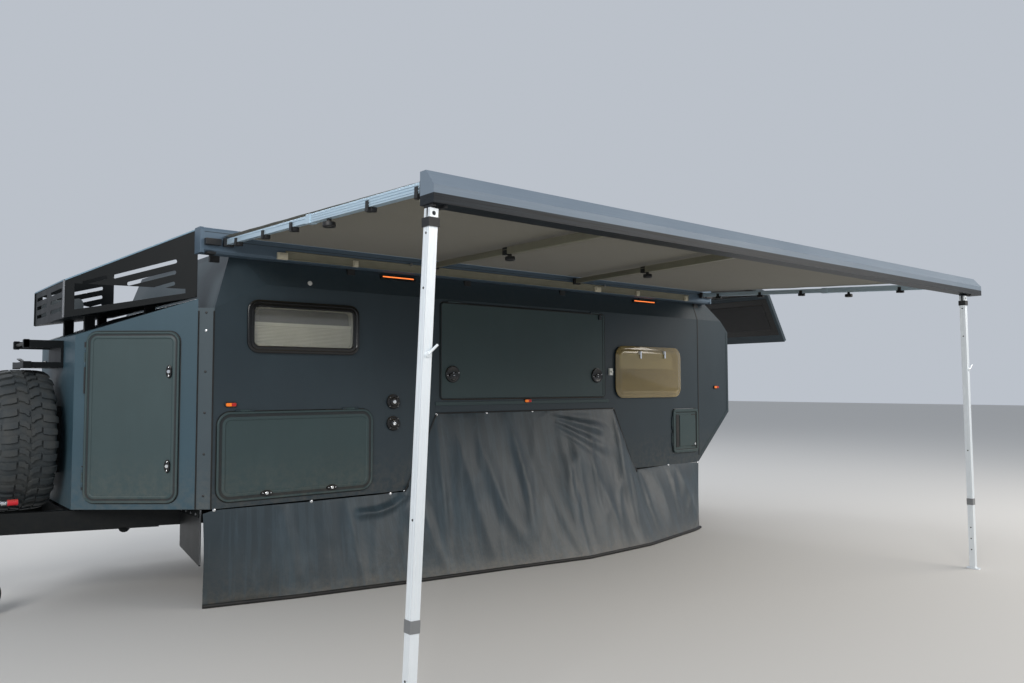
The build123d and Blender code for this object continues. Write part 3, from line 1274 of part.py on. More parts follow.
low_bay = [
    (skirt_wall_y, CABIN_BOTTOM_Z + SKIRT_LAP),
    (skirt_wall_y, CABIN_BOTTOM_Z),
    (-SKIRT_FOOT_Y, skirt_foot_z),
]
high_bay = [
    (skirt_wall_y, ARCH_TOP_Z + SKIRT_LAP),
    (skirt_wall_y, ARCH_TOP_Z - SKIRT_LAP),
    (skirt_wall_y - SKIRT_BULGE, CABIN_BOTTOM_Z),
    (-SKIRT_FOOT_Y, skirt_foot_z),
]
with BuildPart() as arch_bay:
    add(skirt_bay(ARCH_BOTTOM_FRONT_X, ARCH_BOTTOM_REAR_X, high_bay))
    with BuildSketch(Plane.XZ.offset(CABIN_HALF_WIDTH - WALL)):
        with BuildLine():
            Polyline(
                (ARCH_BOTTOM_FRONT_X, GROUND_Z),
                (ARCH_BOTTOM_FRONT_X, CABIN_BOTTOM_Z + SKIRT_LAP),
                (ARCH_TOP_FRONT_X, ARCH_TOP_Z + SKIRT_LAP),
                (ARCH_TOP_REAR_X, ARCH_TOP_Z + SKIRT_LAP),
                (ARCH_BOTTOM_REAR_X, CABIN_BOTTOM_Z + SKIRT_LAP),
                (ARCH_BOTTOM_REAR_X, GROUND_Z),
                close=True,
            )
        make_face()
    extrude(amount=SKIRT_FOOT_Y, mode=Mode.INTERSECT)

with BuildPart() as side_skirt:
    add(skirt_bay(SKIRT_FRONT_X, ARCH_BOTTOM_FRONT_X, low_bay))
    add(skirt_bay(ARCH_BOTTOM_REAR_X, SKIRT_REAR_X, low_bay))
    add(arch_bay.part)
side_skirt.part.label = "side_skirt"
export_step(side_skirt.part, "parts/side_skirt.step")

# Lamps: LED strips under the awning, side markers and tail lamps
LED_STRIPS = [(3134.0, 3415.0), (5779.0, 6082.0)]
LED_Z = level(2111.0)
LED_HEIGHT = 22.0
LED_DEPTH = 14.0
MARKERS = [(2057.0, level(1228.0)), (4466.0, level(1220.0)), (6944.0, level(1324.0))]
MARKER_LENGTH = 62.0
MARKER_HEIGHT = 20.0
MARKER_DEPTH = 16.0
TAIL_Y = REAR_BAR_HALF_WIDTH - 210.0
TAIL_LENGTH = 260.0
TAIL_HEIGHT = 60.0
TAIL_DEPTH = 18.0
lean_length = math.hypot(ROOF_Z - CREASE_Z, ROOF_INSET)
lean_plane = Plane(
    origin=(0, -CABIN_HALF_WIDTH, CREASE_Z),
    x_dir=(1, 0, 0),
    z_dir=(0, -(ROOF_Z - CREASE_Z), ROOF_INSET),
)

with BuildPart() as led_strips:
    with BuildSketch(lean_plane):
        led_v = (LED_Z - CREASE_Z) * lean_length / (ROOF_Z - CREASE_Z)
        for start, end in LED_STRIPS:
            with Locations(((start + end) / 2, led_v)):
                Rectangle(end - start, LED_HEIGHT)
    extrude(amount=LED_DEPTH)
led_strips.part.label = "led_strips"
export_step(led_strips.part, "parts/led_strips.step")

with BuildPart() as marker_lamps:
    with BuildSketch(SIDE.offset(CABIN_HALF_WIDTH)):
        with Locations(*MARKERS):
            RectangleRounded(MARKER_LENGTH, MARKER_HEIGHT, MARKER_HEIGHT / 3)
    extrude(amount=MARKER_DEPTH)
    mirror(about=Plane.XZ)
    with BuildSketch(Plane.YZ.offset(CHASSIS_END_X + REAR_BAR_DEPTH)):
        tail_z = CABIN_BOTTOM_Z - REAR_BAR_HEIGHT / 2
        with Locations((TAIL_Y, tail_z), (-TAIL_Y, tail_z)):
            Rectangle(TAIL_LENGTH, TAIL_HEIGHT)
    extrude(amount=TAIL_DEPTH)
marker_lamps.part.label = "marker_lamps"
export_step(marker_lamps.part, "parts/marker_lamps.step")

# Round ports and the hatch's small catches on the near wall
PORT_RADIUS = 50.0
PORT_DEPTH = 14.0
PORT_X = 3215.0
PORT_Z = (level(1230.0), level(1078.0))
with BuildPart() as side_ports:
    with BuildSketch(SIDE.offset(CABIN_HALF_WIDTH)):
        with Locations(*[(PORT_X, z) for z in PORT_Z]):
            Circle(PORT_RADIUS)
    extrude(amount=PORT_DEPTH)
side_ports.part.label = "side_ports"
export_step(side_ports.part, "parts/side_ports.step")

# Roof vents and solar panels
VENT_SIZE = 420.0
VENT_HEIGHT = 60.0
SOLAR_LENGTH = 1000.0
SOLAR_WIDTH = 1500.0
SOLAR_HEIGHT = 35.0
SOLAR_COUNT = 3
SOLAR_PITCH = 1040.0
SOLAR_X = 4500.0
VENT_X = (SOLAR_X - 1850.0, SOLAR_X + 1850.0)
with BuildPart() as roof_vents:
    with BuildSketch(Plane.XY.offset(ROOF_Z)):
        with Locations(*[(x, 0) for x in VENT_X]):
            RectangleRounded(VENT_SIZE, VENT_SIZE, VENT_HEIGHT)
    extrude(amount=VENT_HEIGHT)
roof_vents.part.label = "roof_vents"
export_step(roof_vents.part, "parts/roof_vents.step")

with BuildPart() as solar_panels:
    with BuildSketch(Plane.XY.offset(ROOF_Z)):
        with Locations((SOLAR_X, 0)):
            with GridLocations(SOLAR_PITCH, 0, SOLAR_COUNT, 1):
                Rectangle(SOLAR_LENGTH, SOLAR_WIDTH)
    extrude(amount=SOLAR_HEIGHT)
solar_panels.part.label = "solar_panels"
export_step(solar_panels.part, "parts/solar_panels.step")

# Inside: the bed over the wheel arches and the galley behind the kitchen hatch
BOARD = 18.0
BED_FRONT_X = CABIN_FRONT_X + WALL + PANEL_GAP
BED_REAR_X = 3570.0
BED_HALF_WIDTH = CABIN_HALF_WIDTH - WALL - 1.0
BED_Z = ARCH_TOP_Z + ARCH_SHEET
BED_LEG_HALF_WIDTH = ARCH_INNER_Y - ARCH_SHEET - PANEL_GAP
MATTRESS_HEIGHT = 150.0
MATTRESS_INSET = 12.0
GALLEY_FRONT_X = 3590.0
GALLEY_REAR_X = 5390.0
GALLEY_DEPTH = 450.0
GALLEY_TOP_Z = KITCHEN[3] + PANEL_GAP
GALLEY_SHELF_Z = level(1260.0)

with BuildPart() as bed_base:
    with BuildSketch(Plane.XY.offset(BED_Z)):
        with Locations(((BED_FRONT_X + BED_REAR_X) / 2, 0)):
            Rectangle(BED_REAR_X - BED_FRONT_X, 2 * BED_HALF_WIDTH)
    extrude(amount=BOARD)
    with BuildSketch(Plane.XY.offset(CABIN_BOTTOM_Z + FLOOR_THICKNESS)):
        with Locations((BED_REAR_X - BOARD / 2, 0)):
            Rectangle(BOARD, 2 * BED_LEG_HALF_WIDTH)
    extrude(amount=BED_Z - CABIN_BOTTOM_Z - FLOOR_THICKNESS)
bed_base.part.label = "bed_base"
export_step(bed_base.part, "parts/bed_base.step")

with BuildPart() as mattress:
    with BuildSketch(Plane.XY.offset(BED_Z + BOARD + FIT_GAP)):
        with Locations(((BED_FRONT_X + BED_REAR_X) / 2, 0)):
            RectangleRounded(
                BED_REAR_X - BED_FRONT_X - 2 * MATTRESS_INSET,
                2 * (BED_HALF_WIDTH - MATTRESS_INSET),
                4 * MATTRESS_INSET,
            )
    extrude(amount=MATTRESS_HEIGHT)
mattress.part.label = "mattress"
export_step(mattress.part, "parts/mattress.step")

with BuildPart() as galley:
    galley_inner_y = BED_HALF_WIDTH - GALLEY_DEPTH
    with BuildSketch(Plane.YZ.offset(GALLEY_FRONT_X)):
        with Locations(
            (-(BED_HALF_WIDTH + galley_inner_y) / 2, (BED_Z + GALLEY_TOP_Z) / 2)
        ):
            Rectangle(GALLEY_DEPTH, GALLEY_TOP_Z - BED_Z)
    extrude(amount=GALLEY_REAR_X - GALLEY_FRONT_X)
    with BuildSketch(SIDE.offset(BED_HALF_WIDTH)):
        middle_x = (GALLEY_FRONT_X + GALLEY_REAR_X) / 2
        inner_length = GALLEY_REAR_X - GALLEY_FRONT_X - 2 * BOARD
        with Locations((middle_x, (GALLEY_SHELF_Z + GALLEY_TOP_Z - BOARD) / 2)):
            Rectangle(inner_length, GALLEY_TOP_Z - BOARD - GALLEY_SHELF_Z)
    extrude(amount=-(GALLEY_DEPTH - BOARD), mode=Mode.SUBTRACT)
galley.part.label = "galley"
export_step(galley.part, "parts/galley.step")
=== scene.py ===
"""Looks of the off-road camper trailer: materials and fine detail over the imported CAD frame."""

import math

import bmesh
import bpy
from mathutils import Matrix, Vector, noise


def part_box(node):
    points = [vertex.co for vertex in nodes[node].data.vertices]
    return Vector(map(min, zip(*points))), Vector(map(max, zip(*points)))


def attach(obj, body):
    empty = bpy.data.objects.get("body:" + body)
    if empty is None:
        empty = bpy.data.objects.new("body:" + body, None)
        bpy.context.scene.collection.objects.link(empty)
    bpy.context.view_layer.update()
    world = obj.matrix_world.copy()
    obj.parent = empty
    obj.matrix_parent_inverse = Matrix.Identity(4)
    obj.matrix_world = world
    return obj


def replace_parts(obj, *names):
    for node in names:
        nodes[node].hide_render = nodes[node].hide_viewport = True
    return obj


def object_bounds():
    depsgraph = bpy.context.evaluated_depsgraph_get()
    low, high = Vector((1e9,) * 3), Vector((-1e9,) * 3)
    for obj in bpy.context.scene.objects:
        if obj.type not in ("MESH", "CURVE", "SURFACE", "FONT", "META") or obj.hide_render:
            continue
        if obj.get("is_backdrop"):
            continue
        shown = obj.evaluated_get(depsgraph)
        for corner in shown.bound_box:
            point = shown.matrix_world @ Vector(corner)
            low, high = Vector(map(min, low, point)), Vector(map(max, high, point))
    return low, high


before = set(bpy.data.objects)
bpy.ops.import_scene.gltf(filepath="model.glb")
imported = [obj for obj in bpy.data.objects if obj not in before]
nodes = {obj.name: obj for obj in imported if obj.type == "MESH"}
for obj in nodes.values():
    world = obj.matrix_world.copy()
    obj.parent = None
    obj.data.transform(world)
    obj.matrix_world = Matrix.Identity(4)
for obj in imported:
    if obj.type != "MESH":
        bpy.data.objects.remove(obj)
cad_low, cad_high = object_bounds()
cad_low, cad_high = cad_low.copy(), cad_high.copy()
scene = bpy.context.scene

BALL_HEIGHT = 0.520
GROUND = -BALL_HEIGHT


def level(height):
    """Model Z of a height above the ground, in metres."""
    return height - BALL_HEIGHT


def mm(*sizes):
    """Pairs of sizes in millimetres, turned into metres."""
    return [(a / 1000, b / 1000) for a, b in zip(sizes[::2], sizes[1::2])]


# Materials


def rgb(red, green, blue):
    """A colour given in 0 to 255 display values, as Blender's linear colour."""
    shares = [value / 255 for value in (red, green, blue)]
    return (*[s / 12.92 if s <= 0.04045 else ((s + 0.055) / 1.055) ** 2.4 for s in shares], 1)


def scaled(colour, factor):
    return (*[min(1.0, value * factor) for value in colour[:3]], 1)


DUST = rgb(150, 134, 110)


class Shade:
    """A procedural material, built up node by node."""

    def __init__(self, name, colour):
        self.material = bpy.data.materials.new(name)
        self.material.use_nodes = True
        self.tree = self.material.node_tree
        self.tree.nodes.clear()
        self.surface = self.node("BsdfPrincipled")
        self.node("OutputMaterial", {"Surface": self.surface.outputs["BSDF"]})
        self.place = self.node("TexCoord").outputs["Object"]
        self.colour = rgb(*colour)
        self.base = self.normal = None

    def fill(self, target, inputs):
        """Links or sets a node's inputs."""
        for key, value in inputs.items():
            if isinstance(value, bpy.types.NodeSocket):
                self.tree.links.new(value, target.inputs[key])
            else:
                target.inputs[key].default_value = value

    def node(self, kind, inputs=None, **settings):
        made = self.tree.nodes.new("ShaderNode" + kind)
        for key, value in settings.items():
            setattr(made, key, value)
        self.fill(made, inputs or {})
        return made

    def set(self, **values):
        self.fill(self.surface, {key.replace("_", " "): value for key, value in values.items()})
        return self

    def grain(self, scale, detail=3.0, rough=0.55, stretch=None, distortion=0.0):
        place = self.place
        if stretch:
            place = self.node("Mapping", {"Vector": place, "Scale": stretch}).outputs["Vector"]
        inputs = {"Vector": place, "Scale": scale, "Detail": detail, "Roughness": rough}
        return self.node("TexNoise", {**inputs, "Distortion": distortion}).outputs["Fac"]

    def bands(self, scale, direction, distortion=0.0, profile="SIN"):
        inputs = {"Vector": self.place, "Scale": scale, "Distortion": distortion, "Detail": 1.0}
        settings = {"bands_direction": direction, "wave_profile": profile}
        return self.node("TexWave", inputs, wave_type="BANDS", **settings).outputs["Fac"]

    def ramp(self, source, *stops):
        """Grey values between stops of (position, value)."""
        made = self.node("ValToRGB", {"Fac": source})
        points = made.color_ramp.elements
        while len(points) < len(stops):
            points.new(0.5)
        for point, (position, value) in zip(points, stops):
            point.position = position
            point.color = (value, value, value, 1)
        return made.outputs["Color"]

    def mix(self, factor, first, second):
        return self.node("Mix", {0: factor, 6: first, 7: second}, data_type="RGBA").outputs[2]

    def times(self, first, second, operation="MULTIPLY"):
        return self.node("Math", {0: first, 1: second}, operation=operation).outputs[0]

    def span(self, source, low, high, side):
        """Maps a value from low to high, where side is From, or to them, where it is To."""
        inputs = {"Value": source, f"{side} Min": low, f"{side} Max": high}
        return self.node("MapRange", inputs).outputs["Result"]

    def upright(self, source, low, high):
        """0 at low and 1 at high in a vector's Z."""
        return self.span(self.node("SeparateXYZ", {0: source}).outputs["Z"], low, high, "From")

    def height(self, low, high):
        return self.upright(self.place, low, high)

    def facing_up(self):
        """1 on faces that look up, 0 on walls."""
        return self.upright(self.node("NewGeometry").outputs["Normal"], 0.2, 0.9)

    def mottle(self, source, dark, light):
        """Starts the base colour between two strengths of the material's own."""
        self.base = self.mix(source, scaled(self.colour, dark), scaled(self.colour, light))
        self.set(Base_Color=self.base)

    def lay(self, factor, over):
        """Lays a colour, or a strength of the material's own, over the base colour."""
        over = over if isinstance(over, tuple) else scaled(self.colour, over)
        self.base = self.mix(factor, self.base, over)
        self.set(Base_Color=self.base)

    def bump(self, source, distance, strength):
        made = self.node("Bump", {"Height": source, "Distance": distance, "Strength": strength})
        if self.normal is not None:
            self.fill(made, {"Normal": self.normal})
        self.normal = made.outputs["Normal"]
        self.set(Normal=self.normal)

    def rough(self, source, low, high):
        self.set(Roughness=self.span(source, low, high, "To"))


def paint(name, colour, roughness=0.42, peel=0.00025, dust=0.5, shine=0.36):
    """Satin paint over a faint orange peel, with smudges and road dust low down."""
    shade = Shade(name, colour)
    smear = shade.grain(7.0, 5.0, 0.65, (1.0, 1.0, 0.35))
    shade.mottle(shade.grain(1.6, 4.0, 0.6), 0.88, 1.14)
    shade.lay(shade.ramp(smear, (0.46, 0.0), (0.75, 0.35)), 1.3)
    low = shade.ramp(shade.height(level(0.95), level(0.45)), (0.0, 0.0), (1.0, 1.0))
    speck = shade.ramp(shade.grain(26.0, 6.0, 0.7), (0.38, 0.0), (0.72, 1.0))
    veil = shade.times(shade.times(low, speck), 0.42 * dust)
    top = shade.times(shade.times(shade.facing_up(), 0.30 * dust), speck)
    shade.lay(shade.times(veil, top, "MAXIMUM"), DUST)
    shade.rough(smear, roughness - 0.07, roughness + 0.13)
    shade.bump(shade.grain(520.0, 2.0, 0.5), peel, 0.55)
    shade.bump(shade.grain(3.0, 2.0), 0.0012, 0.18)
    return shade.set(Specular_IOR_Level=shine).material


def alloy(name, colour, roughness=0.34, along="X", metallic=0.9):
    """Anodised extrusion with drawing lines along its length."""
    shade = Shade(name, colour)
    line = shade.grain(1.0, 3.0, 0.6, [3.0 if axis == along else 420.0 for axis in "XYZ"])
    shade.mottle(shade.grain(2.2, 4.0, 0.6), 0.88, 1.08)
    shade.lay(shade.ramp(line, (0.35, 0.0), (0.8, 0.35)), 0.8)
    shade.rough(line, roughness - 0.06, roughness + 0.12)
    shade.bump(line, 0.00012, 0.6)
    return shade.set(Metallic=metallic).material


def lead_alloy(name, colour):
    """Awning lead rail: slate above, nearly black below a height, as painted shade for its
    downward-facing lower part.
    """
    shade = Shade(name, colour)
    line = shade.grain(1.0, 3.0, 0.6, (3.0, 420.0, 420.0))
    light = shade.mix(shade.grain(2.4, 4.0, 0.6), rgb(100, 114, 128), shade.colour)
    # Painted shade: below this height the rail is mixed to near black, for the shadow on its
    # downward-facing lower face.
    split = shade.ramp(shade.height(level(2.046), level(2.054)), (0.45, 0.0), (0.55, 1.0))
    shade.base = shade.mix(split, rgb(12, 14, 16), light)
    shade.lay(shade.ramp(line, (0.35, 0.0), (0.8, 0.3)), rgb(84, 96, 108))
    shade.rough(line, 0.36, 0.52)
    shade.bump(line, 0.00012, 0.6)
    return shade.set(Metallic=0.1, Specular_IOR_Level=0.2).material


def moulded(name, colour, roughness=0.5, scale=900.0, dusty=0.25):
    """Moulded plastic with a fine pebble grain and dust that lies on it."""
    shade = Shade(name, colour)
    pebble = shade.node("TexVoronoi", {"Vector": shade.place, "Scale": scale}).outputs["Distance"]
    cloud = shade.grain(11.0, 5.0, 0.65)
    shade.mottle(cloud, 0.8, 1.3)
    shade.lay(shade.times(shade.facing_up(), shade.ramp(cloud, (0.3, 0.2), (0.7, dusty))), DUST)
    shade.rough(cloud, roughness - 0.08, roughness + 0.12)
    shade.bump(pebble, 0.0002, 0.5)
    return shade.material


def rubber(name, colour, dusty, roughness=0.72):
    """Rubber: matt, finely pitted, browned by dust in its hollows."""
    shade = Shade(name, colour)
    cloud = shade.grain(9.0, 6.0, 0.7)
    shade.mottle(cloud, 0.75, 1.5)
    shade.lay(shade.ramp(cloud, (0.4, 0.0), (0.85, dusty)), scaled(DUST, 0.55))
    shade.rough(cloud, roughness - 0.1, roughness + 0.12)
    shade.bump(shade.grain(300.0, 4.0, 0.7), 0.0004, 0.5)
    return shade.material


def weave(name, colour, pitch, sheen=0.25, seams=0.0):
    """Woven cloth: two crossing sets of threads, with slubs and faint stains."""
    shade = Shade(name, colour)
    warp, weft = [shade.bands(0.5 / pitch, direction, 0.4) for direction in "XY"]
    thread = shade.mix(0.5, warp, weft)
    slub = shade.grain(60.0, 3.0, 0.6, (0.3, 4.0, 1.0))
    cloud = shade.grain(1.3, 5.0, 0.6)
    shade.mottle(cloud, 0.86, 1.12)
    shade.lay(shade.ramp(slub, (0.45, 0.0), (0.8, 0.4)), 1.25)
    shade.lay(shade.ramp(thread, (0.2, 0.45), (0.7, 0.0)), 0.6)
    if seams:
        line = shade.bands(seams, "Y", profile="SAW")
        shade.lay(shade.ramp(line, (0.0, 0.55), (0.05, 0.0)), 0.55)
    shade.bump(thread, 0.0002, 0.8)
    shade.bump(cloud, 0.004, 0.15)
    return shade.set(Roughness=0.85, Sheen_Weight=sheen, Sheen_Roughness=0.5).material


def coated(name, colour):
    """Heavy coated cloth: a leathery skin over a weave, with creases and a dusty hem."""
    shade = Shade(name, colour)
    crease = shade.grain(4.0, 7.0, 0.7, (1.0, 1.0, 0.45), 0.6)
    streak = shade.grain(1.0, 4.0, 0.6, (26.0, 8.0, 1.3))
    shade.mottle(shade.grain(2.0, 5.0, 0.65), 0.78, 1.25)
    shade.lay(shade.ramp(crease, (0.52, 0.0), (0.62, 0.5), (0.72, 0.1)), 1.7)
    low = shade.height(level(0.42), level(0.0))
    hem = shade.ramp(low, (0.0, 0.0), (0.75, 0.10), (1.0, 0.34))
    speck = shade.ramp(shade.grain(34.0, 6.0, 0.75), (0.30, 0.15), (0.70, 1.0))
    shade.lay(shade.times(hem, speck), DUST)
    shade.lay(shade.ramp(streak, (0.50, 0.0), (0.60, 0.30), (0.78, 0.05)), 2.1)
    shade.rough(crease, 0.30, 0.54)
    shade.bump(shade.grain(240.0, 3.0, 0.6), 0.00035, 0.5)
    shade.bump(streak, 0.0025, 0.4)
    shade.bump(crease, 0.006, 0.45)
    return shade.set(Sheen_Weight=0.15, Sheen_Roughness=0.4).material


def wood(name, colour, scale=1.0):
    """Sealed plywood with long grain."""
    shade = Shade(name, colour)
    line = shade.grain(2.0 * scale, 8.0, 0.7, (1.5, 18.0, 26.0), 1.2)
    shade.mottle(shade.ramp(line, (0.32, 0.0), (0.7, 1.0)), 0.66, 1.0)
    shade.rough(line, 0.40, 0.58)
    shade.bump(line, 0.0004, 0.4)
    return shade.material


def lens(name, colour, glow=0.0):
    """Ribbed lamp lens."""
    shade = Shade(name, colour)
    rib = shade.bands(60.0, "X")
    shade.mottle(rib, 0.7, 1.0)
    shade.bump(rib, 0.0006, 0.6)
    shade.set(Roughness=0.12, Coat_Weight=0.6, Coat_Roughness=0.05)
    return shade.set(Emission_Color=shade.colour, Emission_Strength=glow).material


def acrylic(name, colour, transmission):
    """Tinted acrylic sheet, faintly hazed."""
    shade = Shade(name, colour)
    haze = shade.grain(5.0, 5.0, 0.65)
    shade.mottle(haze, 0.9, 1.1)
    shade.rough(haze, 0.03, 0.12)
    shade.set(Transmission_Weight=transmission, IOR=1.49, Coat_Weight=0.3, Coat_Roughness=0.04)
    return shade.material


def solar(name, colour):
    """Dark cells with thin silver bus lines under a clear face."""
    shade = Shade(name, colour)
    cell = {"Brick Width": 0.158, "Row Height": 0.158, "Mortar Size": 0.003, "Mortar Smooth": 0.0}
    tints = {"Color1": shade.colour, "Color2": rgb(26, 32, 54), "Mortar": rgb(120, 124, 130)}
    brick = shade.node("TexBrick", {"Vector": shade.place, "Scale": 1.0, **cell, **tints}, offset=0.0)
    shade.base = brick.outputs["Color"]
    bus = shade.bands(6.0, "Y", profile="SAW")
    shade.lay(shade.ramp(bus, (0.0, 0.5), (0.03, 0.0)), rgb(170, 174, 180))
    shade.lay(shade.ramp(shade.grain(6.0, 6.0, 0.7), (0.45, 0.0), (0.9, 0.25)), DUST)
    shade.set(Roughness=0.42, Coat_Weight=0.12, Coat_Roughness=0.2, Specular_IOR_Level=0.25)
    return shade.material


# Each look's slot in the frame and its material
LOOKS = {
    "body": ("body_paint", paint("body_paint", (44, 56, 63))),
    "box": ("box_paint", paint("box_paint", (52, 75, 86))),
    "panel": ("panel_paint", paint("panel_paint", (54, 70, 72), 0.46)),
    # Lighter copy of the body paint for the cabin front's lean facet: painted light, for the facet that
    # faces the light.
    "lean": ("body_paint", paint("lean_facet_lit_paint", (60, 72, 78), 0.46)),
    # Light blue for the tray's top edge beads: a painted highlight, the sheen of the light along the
    # black tray's edges.
    "edge_blue": ("box_paint", paint("tray_edge_painted_highlight", (112, 138, 156), 0.4, dust=0.2)),
    "grey_panel": ("black_plastic", moulded("grey_panel", (92, 100, 104), 0.5, 700.0, 0.2)),
    "trim": ("panel_paint", paint("trim_paint", (36, 41, 43), 0.36, dust=0.3)),
    "black": ("frame_black", paint("frame_paint", (13, 17, 19), 0.44, 0.0004, 0.04, 0.18)),
    "alloy": ("alloy", alloy("bright_alloy", (205, 212, 216), 0.36, "X", 0.75)),
    "alloy_leg": ("alloy", alloy("leg_alloy", (232, 238, 242), 0.38, "Z", 0.45)),
    "alloy_side": ("alloy", alloy("rafter_alloy", (196, 218, 232), 0.34, "Y", 0.5)),
    "beige": ("alloy_grey", moulded("beige_extrusion", (120, 118, 102), 0.45, 600.0, 0.1)),
    "cream": ("inner_panel", moulded("cream_plastic", (196, 190, 170), 0.45, 600.0, 0.1)),
    "lead": ("alloy_grey", lead_alloy("lead_rail_alloy", (120, 132, 144))),
    "alloy_grey": ("alloy_grey", alloy("case_alloy", (88, 106, 122), 0.42, "X", 0.35)),
    "steel": ("steel", alloy("plated_steel", (150, 152, 154), 0.32, "Z", 0.9)),
    "chrome": ("steel", alloy("chrome", (232, 234, 236), 0.12, "Z", 1.0)),
    "plastic": ("black_plastic", moulded("black_plastic", (22, 23, 25))),
    "gloss": ("black_plastic", moulded("gloss_plastic", (14, 15, 16), 0.18, 2000.0, 0.1)),
    "blind": ("inner_panel", moulded("window_blind", (246, 244, 232), 0.7, 500.0, 0.05)),
    "liner": ("inner_panel", moulded("pale_liner", (206, 204, 198), 0.55, 500.0, 0.1)),
    "tyre": ("tyre_rubber", rubber("tyre_rubber", (42, 48, 51), 0.22)),
    "rubber": ("flap_rubber", rubber("soft_rubber", (18, 21, 23), 0.05, 0.40)),
    "seal": ("black_plastic", rubber("seal_rubber", (18, 19, 20), 0.1, 0.55)),
    "awning": ("awning_cloth", weave("awning_cloth", (92, 86, 64), 0.0016, seams=1.9)),
    "skirt": ("skirt_cloth", coated("skirt_cloth", (43, 55, 62))),
    "mattress": ("mattress_cloth", weave("mattress_cloth", (196, 190, 178), 0.0022, 0.4)),
    "ply": ("ply", wood("plywood", (186, 158, 118))),
    "floor": ("floor_board", wood("floor_board", (112, 100, 88), 1.6)),
    "amber": ("lamp_lens", lens("amber_lens", (236, 120, 24), 0.4)),
    "red": ("lamp_lens", lens("red_lens", (190, 20, 18), 0.1)),
    "clear": ("lamp_lens", lens("clear_lens", (225, 225, 220))),
    "led": ("led_lens", lens("led_lens", (236, 120, 58), 1.6)),
    "bronze": ("acrylic", acrylic("bronze_acrylic", (170, 152, 104), 0.5)),
    "smoke": ("acrylic", acrylic("smoke_acrylic", (230, 230, 220), 0.92)),
    "solar": ("solar_cell", solar("solar_cells", (20, 26, 46))),
    "red_plastic": ("lamp_lens", moulded("red_plastic", (196, 30, 40), 0.35)),
    "white_plastic": ("inner_panel", moulded("white_plastic", (214, 216, 210), 0.4)),
}

CAD_LOOKS = {
    "alloy": "awning_rafters",
    "alloy_grey": "awning_case",
    "alloy_leg": "awning_leg_front awning_leg_rear",
    "amber": "marker_lamps",
    "black": "chassis_frame drawbar_rails nose_tray rear_bar spare_carrier suspension_arms"
    " rim_front_far rim_front_near rim_rear_far rim_rear_near spare_rim",
    "body": "cabin_roof cabin_wall_far cabin_wall_near rear_cheeks rear_hatch",
    "box": "nose_box",
    "bronze": "window_panes",
    "floor": "cabin_floor",
    "lead": "awning_lead_rail",
    # The cabin front takes the lighter lean paint, which is painted light.
    "lean": "cabin_front",
    "led": "led_strips",
    "mattress": "mattress",
    "panel": "kitchen_hatch nose_door_far nose_door_near service_hatch storage_hatch_far"
    " storage_hatch_near",
    "plastic": "roof_vents side_ports wheel_arches",
    "ply": "bed_base galley",
    "rubber": "jockey_wheel mud_flaps suspension_springs",
    "seal": "window_frames",
    "skirt": "side_skirt",
    "solar": "solar_panels",
    "steel": "jack_post tow_coupling",
    "tyre": "spare_tyre tyre_front_far tyre_front_near tyre_rear_far tyre_rear_near",
}
for look, names in CAD_LOOKS.items():
    for node_name in names.split():
        nodes[node_name].data.materials.clear()
        nodes[node_name].data.materials.append(LOOKS[look][1])

# Camera

CAMERA_AT = Vector((0.175, -6.028, 0.820))
CAMERA_YAW, CAMERA_PITCH, CAMERA_ROLL = [math.radians(turn) for turn in (50.3, 3.11, -0.11)]
flat = math.cos(CAMERA_PITCH)
forward = Vector((math.cos(CAMERA_YAW) * flat, math.sin(CAMERA_YAW) * flat, math.sin(CAMERA_PITCH)))
right = Vector((math.sin(CAMERA_YAW), -math.cos(CAMERA_YAW), 0))
up = right.cross(forward)
right = right * math.cos(CAMERA_ROLL) + up * math.sin(CAMERA_ROLL)
up = right.cross(forward)
camera_data = bpy.data.cameras.new("camera")
camera_data.lens = 28.70
camera_data.sensor_width = 36.0
camera_data.clip_end = 200
camera = bpy.data.objects.new("camera", camera_data)
turn = Matrix((right, up, -forward)).transposed().to_4x4()
camera.matrix_world = Matrix.Translation(CAMERA_AT) @ turn
scene.collection.objects.link(camera)
scene.camera = camera

# Floor and light

FLOOR_REACH = 60.0
floor_corners = [(-1, -1), (1, -1), (1, 1), (-1, 1)]
floor_mesh = bpy.data.meshes.new("studio_floor")
floor_points = [(x * FLOOR_REACH, y * FLOOR_REACH, GROUND) for x, y in floor_corners]
floor_mesh.from_pydata(floor_points, [], [(0, 1, 2, 3)])
studio_floor = bpy.data.objects.new("studio_floor", floor_mesh)
scene.collection.objects.link(studio_floor)
floor_shade = Shade("studio_floor", (0, 0, 0)).set(Base_Color=(0.56, 0.55, 0.53, 1), Roughness=0.85)
floor_mesh.materials.append(floor_shade.material)
studio_floor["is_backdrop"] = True

world = bpy.data.worlds.new("studio")
scene.world = world
world.use_nodes = True
world.node_tree.nodes["Background"].inputs["Color"].default_value = (0.80, 0.86, 0.95, 1)
world.node_tree.nodes["Background"].inputs["Strength"].default_value = 0.62
scene.view_settings.view_transform = "Standard"


def soft_light(name, place, target, size, energy, colour):
    data = bpy.data.lights.new(name, "AREA")
    data.shape = "RECTANGLE"
    data.size, data.size_y = size
    data.energy = energy
    data.color = colour
    lamp = bpy.data.objects.new(name, data)
    scene.collection.objects.link(lamp)
    lamp.location = place
    lamp.rotation_euler = (Vector(target) - Vector(place)).to_track_quat("-Z", "Y").to_euler()


soft_light("key", (-6, -9, 6), (3.0, 0, 0.4), (6, 5), 900, (1, 0.98, 0.95))
soft_light("fill", (10, -8, 5), (5.0, -1, 0.4), (7, 5), 520, (1, 0.93, 0.84))
soft_light("back", (6, 10, 8), (4.0, 0, 0.8), (8, 6), 900, (0.95, 0.97, 1))

# Building of pieces

HALF = 1.050


def bevel(target, width, angle):
    """Rounds an object's sharp edges."""
    made = target.modifiers.new("bevel", "BEVEL")
    made.limit_method = "ANGLE"
    made.angle_limit = math.radians(angle)
    made.width = width
    made.segments = 2
    made.harden_normals = True


